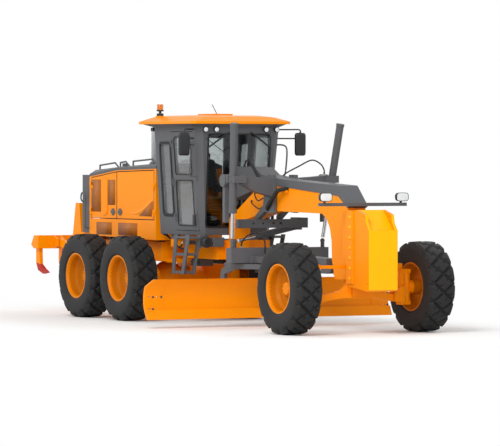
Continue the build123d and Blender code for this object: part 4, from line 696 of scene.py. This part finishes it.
HOOD_HALF = 0.600
SCREENS = {
    # body: corners (forward, height) of each screen, going round
    "panel_rear": [
        [(-1.555, 1.700), (-1.215, 1.700), (-1.215, 2.225), (-1.555, 2.225)],
        [(-0.952, 1.815), (-0.690, 1.815), (-0.690, 2.225), (-0.952, 2.225)],
    ],
    "panel_front": [[(0.170, 1.648), (0.680, 1.648), (0.680, 1.890), (0.640, 1.890)]],
    "chassis": [
        [(-1.375, 1.330), (-0.815, 1.330), (-0.815, 1.530), (-1.375, 1.530)],
        [(-0.575, 1.330), (0.108, 1.330), (0.108, 1.530), (-0.575, 1.530)],
    ],
}


def hood_plate(corners, low, high, side):
    """Flat plate on the hood's side wall, from low to high metres off its face."""
    return slab(at_all([(x, HOOD_HALF + low, z) for x, z in corners], side), (0, side * (high - low), 0))


print("screen sheet made")

# %% Screens, and the swoosh pressed into the front doors
SWOOSH = [(-0.17, 1.688), (0.13, 1.698), (0.40, 1.790), (0.66, 1.920)]


def pressed_line(path, half, rise, side, samples=60, across=13):
    """Low ridge along a smooth path on the hood: its section is a cosine hill of that half width and rise."""
    line = smooth_path([(x, 0, z) for x, z in path], samples)
    along_line = np.gradient(line, axis=0)
    along_line /= np.linalg.norm(along_line, axis=1, keepdims=True)
    sideways = np.stack([-along_line[:, 2], 0 * along_line[:, 0], along_line[:, 0]], axis=-1)
    v = np.linspace(-1, 1, across)
    taper = np.sin(np.linspace(0.06, pi - 0.06, samples)) ** 0.5
    top = line[:, None, :] + (half * taper)[:, None, None] * v[None, :, None] * sideways[:, None, :]
    top[..., 1] = HOOD_HALF - 0.001 + rise * taper[:, None] * (0.5 + 0.5 * np.cos(pi * v))
    bottom = top[:, ::-1].copy()
    bottom[..., 1] = HOOD_HALF - 0.003
    return closed(at_all(np.concatenate([top, bottom], axis=1), side))


for side_name, side in SIDES.items():
    for where, outlines in SCREENS.items():
        body = where if where == "chassis" else f"{where}_{side_name}"
        plates = [hood_plate(outline, 0.0005, 0.004, side) for outline in outlines]
        joined(f"hood_screens_{where}_{side_name}", plates, screen_sheet, body, smooth=False)
    swoosh = pressed_line(SWOOSH, 0.034, 0.012, side)
    joined(f"hood_swoosh_{side_name}", [swoosh], orange, f"panel_front_{side_name}", angle=60)
print("screens of", round(1000 * SCREEN_PITCH, 1), "mm pitch, and two swooshes")

# %% Rails at the hood's rear corners, and work lamps behind the cab
CORNER_RAIL = [
    (-1.668, 0.595, 1.430), (-1.668, 0.645, 1.430), (-1.668, 0.668, 1.480), (-1.668, 0.668, 1.930),
    (-1.700, 0.668, 2.000), (-1.790, 0.668, 2.000), (-1.825, 0.668, 1.930), (-1.825, 0.650, 1.870),
    (-1.825, 0.595, 1.860),
]
corner_rails, lamp_arms = [], []
for side in SIDES.values():
    corner_rails.append(tube(CORNER_RAIL, 0.013, samples=90, side=side))
    for start, end, radius, sides in ((1.010, 0.800, 0.010, 8), (0.925, 0.865, 0.034, 20)):
        lamp_arms.append(tube([(x, 0.700, 3.035) for x in (start, 0.90, end)], radius, sides, side=side))
    lamp_arms.append(tube([(0.800, 0.700, z) for z in (3.005, 3.035, 3.062)], 0.008, 8, side=side))
joined("hood_corner_rails", corner_rails, charcoal, "chassis")
joined("rear_work_lamps", lamp_arms, black_plastic, "front")
print("corner rails and rear lamps made")

# %% [markdown]
# ## Bolts and pins
# Bolt heads are hexagons with a washer under them, zinc plated or painted over. One function sets a whole
# row of them: each is a short turned profile, with six sides for the head and twenty-four for the washer.

# %% Bolt rows


def bolt(centre, axis, size=0.030):
    """Hexagon head of the given width over its corners, on a washer, standing on the face at centre."""
    washer = disc_stack(centre, axis, [(-0.002, size * 0.62), (0.003, size * 0.62)], 24)
    head = [(0.0, size * 0.5), (size * 0.30, size * 0.5), (size * 0.34, size * 0.44)]
    return [washer, disc_stack(centre, axis, head, 6)]


def bolts(name, places, axis, material, body, size=0.030):
    """A row of bolts as one piece."""
    parts = [part for place in places for part in bolt(place, axis, size)]
    return joined(name, parts, material, body, angle=35)


END_BIT_BOLTS = [(3.534, 1.915, 0.480), (3.534, 2.055, 0.480), (3.534, 2.055, 0.300)]
NOSE_PIN = [(0.0, 0.050), (0.022, 0.050), (0.026, 0.044)]
for side_name, side in SIDES.items():
    facing = (0, side, 0)
    strip = at_all([(6.385, 0.265, z) for z in np.linspace(0.820, 1.720, 7)], side)
    bolts(f"push_block_bolts_{side_name}", strip, facing, amber, "front", 0.042)
    bolts(f"end_bit_bolts_{side_name}", at_all(END_BIT_BOLTS, side), (1, 0, 0), cast_iron, "blade")
    pin = disc_stack(at(6.060, side * 0.150, 1.760), facing, NOSE_PIN, 40)
    joined(f"nose_pin_{side_name}", [pin], orange, "front", angle=35)
print("bolt rows and nose pins made")

# %% Hub bolts
# Radius of the ring, number of bolts, how far outboard of the tyre's middle, and finish
DRIVEN_HUB = (0.125, 12, 0.006, zinc_steel)
FRONT_HUB = (0.078, 8, 0.063, orange)
for place_name, (wheel_x, sideways) in WHEELS.items():
    ring_radius, count, outboard, finish = FRONT_HUB if place_name == "front" else DRIVEN_HUB
    angle = np.linspace(0, tau, count, endpoint=False)
    x, z = wheel_x + ring_radius * np.cos(angle), TYRE_RADIUS + ring_radius * np.sin(angle)
    circle = np.column_stack([x, np.full(count, sideways + outboard), z])
    for side_name, side in SIDES.items():
        wheel = f"{place_name}_{side_name}"
        bolts(f"hub_bolts_{wheel}", at_all(circle, side), (0, side, 0), finish, f"wheel_{wheel}", 0.024)
print("hub bolts made")

# %% [markdown]
# ## Inside the cab
# The seat is foam under woven cloth. A cushion is drawn as a rounded box: each of its three measures is a
# power of a cosine or sine, so a small power gives square corners and a large one gives a ball. Its sides
# pull in between the corners as a sewn cover does, and sewn lines press into its top.

# %% Seat cushions and arm pads
TURN_POINTS, HEIGHT_POINTS = 112, 45
SEAM_DEPTH, SEAM_HALF = 0.009, 0.007


def signed_power(value, power):
    """Power of the size of a value, with its sign kept."""
    return np.sign(value) * np.abs(value) ** power


def cushion(centre, across, deep, high, half, lines=(), square=0.38):
    """Sewn cushion: half holds its half sizes along the three given directions, lines the places of seams.

    With turn u and height angle v, the point is centre + a*cos(v)^0.4*cos(u)^square and so on. The sides come
    in by 3.5 % * cos(2u)^2, a seam at v = 0 by 2.5 %, and each sewn line presses the top in by 9 mm.
    """
    u = np.linspace(0, tau, TURN_POINTS, endpoint=False)[None, :]
    v = np.linspace(-pi / 2, pi / 2, HEIGHT_POINTS)[:, None]
    pull = (1 - 0.035 * np.cos(2 * u) ** 2) * (1 - 0.025 * np.exp(-((v / 0.07) ** 2)))
    side = signed_power(np.cos(v), 0.40) * pull
    x = half[0] * side * signed_power(np.cos(u), square)
    y = half[1] * side * signed_power(np.sin(u), square)
    crown = 1 + 0.10 * np.cos(x / half[0] * pi / 2) * np.cos(y / half[1] * pi / 2)
    z = half[2] * signed_power(np.sin(v), 0.75) * crown
    for line in lines:
        z = z - SEAM_DEPTH * np.exp(-(((x - line) / SEAM_HALF) ** 2)) * (v > 0.2)
    grid = centre + np.stack([x, y, z], axis=-1) @ np.array([across, deep, high])
    grid[0], grid[-1] = grid[0].mean(axis=0), grid[-1].mean(axis=0)
    return closed(grid, capped=False)


SEAT_X, SEAT_Z = 1.560, 1.900
recline = radians(12)
back_up = np.array([-sin(recline), 0.0, cos(recline)])
back_out = np.array([cos(recline), 0.0, sin(recline)])
forward, left, upright = np.eye(3)
foot_of_back = at(1.345, 0, 1.930)
back_middle, head_middle = foot_of_back + 0.33 * back_up, foot_of_back + 0.78 * back_up
seat_parts = {
    # cushion: centre, its three directions, half sizes, sewn lines
    "seat_cushion": (at(SEAT_X, 0, SEAT_Z), left, forward, upright, (0.245, 0.245, 0.065), (-0.13, 0.13)),
    "seat_back": (back_middle, left, back_up, back_out, (0.235, 0.330, 0.060), (-0.12, 0.12)),
    "seat_headrest": (head_middle, left, back_up, back_out, (0.135, 0.085, 0.045)),
}
for name, shape in seat_parts.items():
    piece = joined(name, [cushion(*shape)], seat_cloth, "front", angle=60)
for side_name, side in SIDES.items():
    pad = cushion(at(1.570, side * 0.290, 2.110), left, forward, upright, (0.040, 0.185, 0.028))
    piece = joined(f"arm_pad_{side_name}", [pad], seal_rubber, "front", angle=60)

# %% Pedestal and seat frame
folds = np.linspace(0, 9 * tau, 180)
bellows = np.stack([1.450 + 0.330 * folds / folds[-1], 0.150 + 0.012 * np.cos(folds)], axis=-1)
joined("seat_bellows", [disc_stack(at(SEAT_X, 0, 0), upright, bellows, 48)], seal_rubber, "front", angle=60)

back_sheet = [(-0.19, -0.12), (0.19, -0.12), (0.19, 0.60), (-0.19, 0.60)]
back_corners = [foot_of_back - 0.070 * back_out + y * left + z * back_up for y, z in back_sheet]
frame_parts = [brick((1.335, -0.215, 1.780), (1.780, 0.215, 1.838)), slab(back_corners, 0.022 * back_out)]
for side in SIDES.values():
    frame_parts.append(brick((1.405, side * 0.240, 1.835), (1.445, side * 0.262, 2.085)))
    frame_parts.append(brick((1.330, side * 0.081, 2.530), (1.212, side * 0.069, 2.650)))
joined("seat_frame", frame_parts, black_plastic, "front", angle=30)
print("pedestal and seat frame made")

# %% Consoles with their levers, steering column and dash
CAB_FLOOR_TOP = 1.4425
KNOB = [(0.0, 0.009), (0.006, 0.015), (0.022, 0.017), (0.034, 0.012), (0.038, 0.005)]
COLUMN = [(2.140, 0, CAB_FLOOR_TOP), (2.120, 0, 1.70), (2.050, 0, 1.98), (2.022, 0, 2.090)]
DASH = [(2.060, -0.17, 2.060), (2.075, -0.17, 2.215), (2.075, 0.17, 2.215), (2.060, 0.17, 2.060)]
console_parts = []
for side in SIDES.values():
    console_parts.append(brick((1.70, side * 0.345, CAB_FLOOR_TOP), (1.90, side * 0.455, 2.090)))
    for x in (1.730, 1.790, 1.850):
        console_parts.append(tube([(x, 0.40, 2.080), (x, 0.40, 2.205)], 0.006, side=side))
        console_parts.append(disc_stack(at(x, side * 0.40, 2.190), upright, KNOB, 20))
thinning = np.linspace(1.15, 0.75, 24)
console_parts.append(carried_circle(smooth_path(at_all(COLUMN), 24), 0.055, 24, thinning))
console_parts.append(slab(at_all(DASH), (0.05, 0, -0.006)))
joined("consoles", console_parts, black_plastic, "front", angle=35)
print("consoles made")

# %% Steering wheel
GRIP_RADIUS, RIM_RADIUS = 0.013, 0.176
HUB = [(-0.045, 0.030), (-0.012, 0.040), (0.006, 0.040), (0.014, 0.032), (0.016, 0.012)]
wheel_centre = at(2.005, 0, 2.130)
tilt = radians(25)
wheel_axis = np.array([-sin(tilt), 0.0, cos(tilt)])
wheel_up = np.array([cos(tilt), 0.0, sin(tilt)])
round_rim = np.linspace(0, tau, 72, endpoint=False)[:, None, None]
round_grip = np.linspace(0, tau, 16, endpoint=False)[None, :, None]
spoke_way = np.cos(round_rim) * left + np.sin(round_rim) * wheel_up
grip = np.cos(round_grip) * spoke_way + np.sin(round_grip) * wheel_axis
wheel_parts = [closed(wheel_centre + RIM_RADIUS * spoke_way + GRIP_RADIUS * grip, ring=True)]
for spoke in (left, -left, -wheel_up):
    way = wheel_centre + np.array([-0.010 * wheel_axis, 0.09 * spoke - 0.006 * wheel_axis, 0.172 * spoke])
    wheel_parts.append(carried_circle(smooth_path(way, 12), 0.011, 16))
wheel_parts.append(disc_stack(wheel_centre, wheel_axis, HUB, 36))
joined("steering_wheel", wheel_parts, black_plastic, "front", angle=50)
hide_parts("cab_interior")
print("steering wheel made")

# %% [markdown]
# ## Hoses and small fittings
# Hydraulic hoses are rubber over wire braid, about 22 mm thick, with a steel ferrule pressed on each end.
# They hang in smooth bends between two fittings on the same part of the machine.

# %% Hoses
FERRULE_LENGTH = 0.045
HOSES = {
    # body the hose rides on, radius, its points from the tandem centre
    "lift_hose_left": ("front", 0.011, [
        (3.60, 0.15, 2.265), (3.61, 0.17, 2.335), (3.70, 0.37, 2.458), (3.79, 0.545, 2.552),
        (3.88, 0.645, 2.50), (3.935, 0.682, 2.41), (3.94, 0.682, 2.32),
    ]),
    "lift_hose_right_0": ("front", 0.011, [
        (2.80, -0.10, 2.44), (2.86, -0.11, 2.50), (2.97, -0.15, 2.545), (3.131, -0.18, 2.52),
        (3.261, -0.192, 2.43), (3.407, -0.19, 2.285), (3.45, -0.15, 2.20),
    ]),
    "lift_hose_right_1": ("front", 0.011, [
        (2.84, -0.06, 2.44), (2.90, -0.08, 2.52), (3.02, -0.13, 2.57), (3.20, -0.185, 2.52),
        (3.36, -0.197, 2.40), (3.47, -0.19, 2.285), (3.52, -0.15, 2.21),
    ]),
    "side_hose_0": ("front", 0.009, [
        (3.15, -0.14, 1.93), (3.19, -0.185, 1.905), (3.326, -0.195, 1.846), (3.487, -0.20, 1.802),
        (3.62, -0.195, 1.85), (3.70, -0.14, 1.88),
    ]),
    "side_hose_1": ("front", 0.009, [
        (3.25, -0.14, 2.06), (3.30, -0.185, 2.02), (3.43, -0.20, 1.93), (3.56, -0.195, 1.96),
        (3.64, -0.14, 2.01),
    ]),
    "cab_hose_0": ("front", 0.012, [
        (1.01, -0.59, 1.385), (1.06, -0.56, 1.35), (1.233, -0.55, 1.286), (1.44, -0.55, 1.19),
        (1.52, -0.54, 1.19), (1.56, -0.53, 1.25),
    ]),
    "cab_hose_1": ("front", 0.012, [
        (1.04, -0.56, 1.385), (1.11, -0.54, 1.33), (1.30, -0.53, 1.24), (1.48, -0.53, 1.16),
        (1.60, -0.52, 1.16), (1.64, -0.51, 1.24),
    ]),
    "circle_hose_2": ("bar_draw", 0.012, [
        (3.66, -0.60, 1.213), (3.66, -0.60, 1.29), (3.75, -0.55, 1.40), (3.92, -0.47, 1.44),
        (4.05, -0.42, 1.33), (4.035, -0.40, 1.17), (4.01, -0.385, 1.084),
    ]),
    "circle_hose_0": ("bar_draw", 0.010, [
        (3.95, -0.30, 1.085), (3.955, -0.31, 1.12), (4.05, -0.30, 1.15), (4.25, -0.23, 1.14),
        (4.45, -0.15, 1.125), (4.55, -0.125, 1.108), (4.60, -0.12, 1.083),
    ]),
    "circle_hose_1": ("bar_draw", 0.010, [
        (3.95, -0.25, 1.085), (3.955, -0.26, 1.135), (4.05, -0.255, 1.175), (4.25, -0.185, 1.165),
        (4.45, -0.105, 1.145), (4.55, -0.085, 1.12), (4.60, -0.08, 1.083),
    ]),
}


def hose(points, radius):
    """Smooth hose through the points, with a ferrule of 1.35 times its radius over each end."""
    path = smooth_path(points, 60)
    length = np.concatenate([[0.0], np.cumsum(np.linalg.norm(np.diff(path, axis=0), axis=1))])
    near_end = np.minimum(length, length[-1] - length) < FERRULE_LENGTH
    return carried_circle(path, radius, 14, 1 + 0.35 * near_end)


def fitting(end, direction, size):
    """Hexagon nut and collar of a hose fitting, from its end backwards along direction."""
    collar = disc_stack(end, direction, [(-0.030, size * 0.36), (0.012, size * 0.36)], 18)
    nut = disc_stack(end, direction, [(-0.010, size * 0.50), (0.008, size * 0.56), (0.026, size * 0.50)], 6)
    return [collar, nut]


for name, (body, radius, points) in HOSES.items():
    path = at_all(points)
    joined(name, [hose(path, radius)], hose_rubber, body, angle=60)
    ends = ((path[0], path[1] - path[0]), (path[-1], path[-2] - path[-1]))
    nuts = [part for end, inwards in ends for part in fitting(end, inwards, radius * 3)]
    joined(f"{name}_ends", nuts, zinc_steel, body, angle=35)
print("hoses made:", len(HOSES))

# %% Hose bundle in its spiral guard, along the neck's right side
BUNDLE = [
    (3.800, -0.215, 1.800), (3.825, -0.245, 1.830), (3.920, -0.258, 1.900), (4.045, -0.258, 1.990),
    (4.170, -0.255, 2.085), (4.260, -0.220, 2.112), (4.300, -0.140, 2.105),
]
GUARD_BRACKET = [(4.15, -0.162, 2.070), (4.33, -0.162, 2.060), (4.33, -0.162, 2.095), (4.15, -0.162, 2.105)]
spiral = 1 + 0.16 * np.cos(np.linspace(0, 16 * tau, 150))
bundle = carried_circle(smooth_path(at_all(BUNDLE), 150), 0.030, 18, spiral)
joined("hose_bundle", [bundle], hose_rubber, "front", angle=60)
joined("hose_guard_bracket", [slab(at_all(GUARD_BRACKET), (0, -0.030, 0))], orange, "front", angle=30)
print("bundle made")

# %% [markdown]
# ## Mirrors and lamps
# Mirrors and lamps have moulded housings with rounded corners. A housing is a row of rounded rectangles, set
# one behind another and closed at both ends. Its rows swell from a small back to a full rim at the front.

# %% Mirror housings with their glass
MIRROR_MIDDLE, MIRROR_HALF = (2.5465, 1.0275, 2.800), np.array([0.0925, 0.180])
MIRROR_ROWS = [
    # forward of the mirror's middle, share of the full size
    (0.007, 0.95), (0.0, 0.955), (0.0, 0.985), (0.0055, 1.0), (0.0285, 1.0), (0.0415, 0.93), (0.0455, 0.75),
]
LOW_ARM = [(2.330, 0.728, 2.890), (2.330, 0.788, 2.890), (2.450, 0.880, 2.890), (2.567, 0.950, 2.890)]
HIGH_ARM = [
    (2.330, 0.738, 3.030), (2.330, 0.798, 3.030), (2.440, 0.900, 3.030), (2.545, 1.000, 3.030),
    (2.567, 1.027, 3.012), (2.567, 1.027, 2.960),
]


def housing(centre, half, radius, rows):
    """Body of rounded rectangles that face forward: rows holds (forward, share of the full size) pairs."""
    loop = rounded_loop(-half, half, radius)
    return closed(centre + [np.column_stack([np.full(len(loop), x), loop * share]) for x, share in rows])


mirror_parts, mirror_faces = [], []
for side in SIDES.values():
    middle = at_all(MIRROR_MIDDLE, side)
    mirror_parts.append(housing(middle, MIRROR_HALF, 0.042, MIRROR_ROWS))
    mirror_faces.append(housing(middle, MIRROR_HALF - (0.009, 0.012), 0.034, [(0.004, 1.0), (0.008, 1.0)]))
    mirror_parts += [tube(arm, 0.011, samples=60, side=side) for arm in (LOW_ARM, HIGH_ARM)]
    clamp = [(0.0, 0.018), (0.030, 0.018), (0.038, 0.012)]
    mirror_parts.append(disc_stack(at(2.567, side * 1.027, 2.960), upright, clamp, 20))
housings = joined("mirror_housings", mirror_parts, black_plastic, "front", angle=45)
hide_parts("mirrors")
joined("mirror_glass", mirror_faces, mirror_glass, "front", angle=30)
print("mirrors made")

# %% Head lamps and roof lamps
HEAD_LAMP, HEAD_LAMP_HALF = (6.307, 0.649, 2.01425), np.array([0.104, 0.06375])
LENS_INSET = 0.009
LAMP_ROWS = [
    (-0.036, 0.55), (-0.028, 0.80), (0.0, 0.94), (0.040, 1.0), (0.058, 1.0), (0.062, 0.96), (0.056, 0.93),
]
LENS_ROWS = [(0.052, 1.0), (0.0575, 1.0), (0.0615, 0.80), (0.0625, 0.45)]
LAMP_CAN = [(-0.072, 0.016), (-0.066, 0.030), (-0.040, 0.041), (-0.006, 0.042), (0.0, 0.040), (-0.004, 0.036)]
LENS_DOME = [(-0.012, 0.0355), (-0.003, 0.035), (0.002, 0.026), (0.004, 0.012)]
lens_white = grained_plastic("pale_lamp_reflector", "#D9DCDD", 0.25)
lamp_parts, lens_parts = [], []
for side in SIDES.values():
    middle = at_all(HEAD_LAMP, side)
    lamp_parts.append(housing(middle, HEAD_LAMP_HALF, 0.046, LAMP_ROWS))
    lens_parts.append(housing(middle, HEAD_LAMP_HALF - LENS_INSET, 0.040, LENS_ROWS))
for y in (-0.630, -0.440, 0.440, 0.630):
    middle = at(2.545, y, 3.026)
    lamp_parts.append(disc_stack(middle, forward, LAMP_CAN, 36))
    lamp_parts.append(brick((2.492, y - 0.012, 3.060), (2.506, y + 0.012, 3.076)))
    lens_parts.append(disc_stack(middle, forward, LENS_DOME, 32))
lamp_bodies = joined("lamp_housings", lamp_parts, black_plastic, "front", angle=45)
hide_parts("lamps")
joined("lamp_lenses", lens_parts, lens_white, "front", angle=45)
print("lamps made:", len(lens_parts))

# %% [markdown]
# ## Under the cab and along the seams
# Below the cab floor hang the things that a driver never sees: a filter can, a valve box and the block that
# shares oil out. Doors close on a strip of rubber, which shows as a thin dark line all round.

# %% Filter can, valve box and oil block
ribs = np.linspace(0, 5 * tau, 60)
ribbed = np.stack([0.004 + 0.090 * ribs / ribs[-1], 0.082 - 0.0025 * np.cos(ribs)], axis=-1)
can_end = [(0.100, 0.074), (0.104, 0.050), (0.098, 0.046), (0.098, 0.020), (0.112, 0.018)]
can = disc_stack(at(2.352, -0.550, 1.270), forward, [(0.0, 0.070), *ribbed, *can_end], 48)
joined("filter_can", [can], black_plastic, "front", angle=40)

VALVE_FACE_X = 2.425
valve_box = [brick((2.352, -0.450, 1.200), (VALVE_FACE_X, -0.245, 1.345))]
for y, z in ((-0.425, 1.222), (-0.425, 1.323), (-0.270, 1.222), (-0.270, 1.323)):
    valve_box += bolt(at(VALVE_FACE_X, y, z), forward, 0.020)
joined("valve_box", valve_box, charcoal, "front", angle=30)

oil_block = [brick((1.420, -0.300, 0.880), (1.740, -0.080, 1.0005))]
for x in (1.470, 1.540, 1.610, 1.680):
    oil_block += fitting(at(x, -0.318, 0.950), left, 0.040)
    oil_block += fitting(at(x + 0.02, -0.318, 0.905), left, 0.030)
joined("oil_block", oil_block, cast_iron, "front", angle=35)
print("under-cab pieces made")

# %% Rubber in the seams of the hood doors, and door grips
SEAM_WIDTH = 0.006
DOOR_FOOT = 1.595
DOOR_SPANS = {"panel_rear": (-1.565, -0.634), "panel_front": (-0.626, 0.700)}
for side_name, side in SIDES.items():
    for panel, (x0, x1) in DOOR_SPANS.items():
        # The doors' heads follow the hood's edge, which rises forward.
        z0, z1 = np.interp((x0, x1), (-1.640, -0.630, 0.760), (2.270, 2.378, 2.410)) - 0.024
        strips = [
            [(x0, DOOR_FOOT), (x1, DOOR_FOOT), (x1, DOOR_FOOT + SEAM_WIDTH), (x0, DOOR_FOOT + SEAM_WIDTH)],
            [(x0, z0 - SEAM_WIDTH), (x1, z1 - SEAM_WIDTH), (x1, z1), (x0, z0)],
            [(x0, DOOR_FOOT), (x0 + SEAM_WIDTH, DOOR_FOOT), (x0 + SEAM_WIDTH, z0), (x0, z0)],
            [(x1 - SEAM_WIDTH, DOOR_FOOT), (x1, DOOR_FOOT), (x1, z1), (x1 - SEAM_WIDTH, z1)],
        ]
        strips = [hood_plate(strip, -0.004, 0.0015, side) for strip in strips]
        joined(f"seam_rubber_{panel}_{side_name}", strips, seal_rubber, f"{panel}_{side_name}", smooth=False)
for side_name, side in SIDES.items():
    grip = tube([(2.282, 0.696, z) for z in (1.548, 1.560, 1.680, 1.692)], 0.016, 16, side=side)
    joined(f"door_grip_{side_name}", [grip], black_plastic, f"door_{side_name}", angle=50)
print("seam rubber and door grips made")

# %% [markdown]
# ## Finishes of the solids
# The solids keep their shapes. Each takes the finish of the real piece, by name. Some pieces carry a second
# finish, such as the red tips of the ripper's teeth. Those faces are told apart by where they lie.

# %% Finishes of the solids
FINISHES = (
    # finish: how the names of its solids start; all others are orange
    (tyre_rubber, ("tyre_",)),
    (rim_orange, ("rim_",)),
    (cab_glass, ("cab_glass",)),
    (door_glass, ("door_glass",)),
    (rod_chrome, ("lift_rod", "shift_rod", "ripper_rod")),
    (silver_paint, ("exhaust_stack",)),
    (black_plastic, ("beacon", "cab_interior", "mirrors", "lamps")),
    (cast_iron, ("engine_block",)),
    (charcoal, ("cab_shell", "cab_door", "drawbar", "circle", "saddle", "neck_cover", "hood_top")),
    (charcoal, ("lift_cylinder", "shift_cylinder", "ripper_cylinder", "radiator_housing", "ladders")),
    (charcoal, ("blade_carrier",)),
)
for name, solid in nodes.items():
    finish = next((m for m, starts in FINISHES if name.startswith(starts)), orange)
    solid.data.materials.clear()
    solid.data.materials.append(finish)
print("finished", len(nodes), "solids")

# %% Second finishes
PUSH_PLATE_X, PUSH_PLATE_FOOT = 6.610 + TANDEM_X, 0.66
REAR_PANES_X, SIDE_PANES_Y = -0.30, 0.60
TOOTH_TOP, BEACON_LENS_FOOT = 0.860, 3.335
RIM_REACH, HUB_RADIUS = 0.150, 0.10
LATCH_HALF, LATCH_TOP = 0.0705, 1.765
HOOD_LATCHES = {"rear": -0.757, "front": -0.503}


def second_finish(name, material, chosen):
    """Gives another finish to the faces for which chosen(their middles, their normals) is true."""
    mesh = nodes[name].data
    middles, normals = np.empty(len(mesh.polygons) * 3), np.empty(len(mesh.polygons) * 3)
    mesh.polygons.foreach_get("center", middles)
    mesh.polygons.foreach_get("normal", normals)
    mesh.materials.append(material)
    slots = np.zeros(len(mesh.polygons), dtype=np.int32)
    mesh.polygons.foreach_get("material_index", slots)
    slots[chosen(middles.reshape(-1, 3).T, normals.reshape(-1, 3).T)] = len(mesh.materials) - 1
    mesh.polygons.foreach_set("material_index", slots)
    mesh.update()


def on_plate(p, n):
    """Facing forward, on the push block's plate."""
    return (p[0] > PUSH_PLATE_X) & (n[0] > 0.3) & (p[2] > PUSH_PLATE_FOOT)


second_finish("push_block", amber, on_plate)
second_finish("cab_glass", door_glass, lambda p, n: (np.abs(p[1]) > SIDE_PANES_Y) & (p[0] < REAR_PANES_X))
second_finish("ripper_beam", red_paint, lambda p, n: p[2] < TOOTH_TOP)
second_finish("beacon", beacon_lens, lambda p, n: p[2] > BEACON_LENS_FOOT)
for side_name, side in SIDES.items():
    for place_name, (wheel_x, sideways) in WHEELS.items():

        def in_shaded_dish(p, n):
            """Inboard of the rim's outer face and outside the hub, where the dish is painted darker as shade.
            """
            from_axle = np.hypot(p[0] - wheel_x - TANDEM_X, p[2] - TYRE_RADIUS)
            return (np.abs(p[1]) < sideways + RIM_REACH) & (from_axle > HUB_RADIUS)

        # The dish's faces take the deeper orange of its painted shade.
        second_finish(f"rim_{place_name}_{side_name}", dish_shade_orange, in_shaded_dish)
    for where, latch_x in HOOD_LATCHES.items():

        def on_latch(p, n):
            """Standing out of the door's face, round the place of its latch."""
            stands_out = p[1] * side > HOOD_HALF + 0.0005
            return stands_out & (np.abs(p[0] - TANDEM_X - latch_x) < LATCH_HALF) & (p[2] < LATCH_TOP)

        second_finish(f"hood_door_{where}_{side_name}", charcoal, on_latch)
print("second finishes given")

# %% Measure and close
print(len(pieces_made), "pieces,", sum(len(p.data.polygons) for p in pieces_made), "faces")
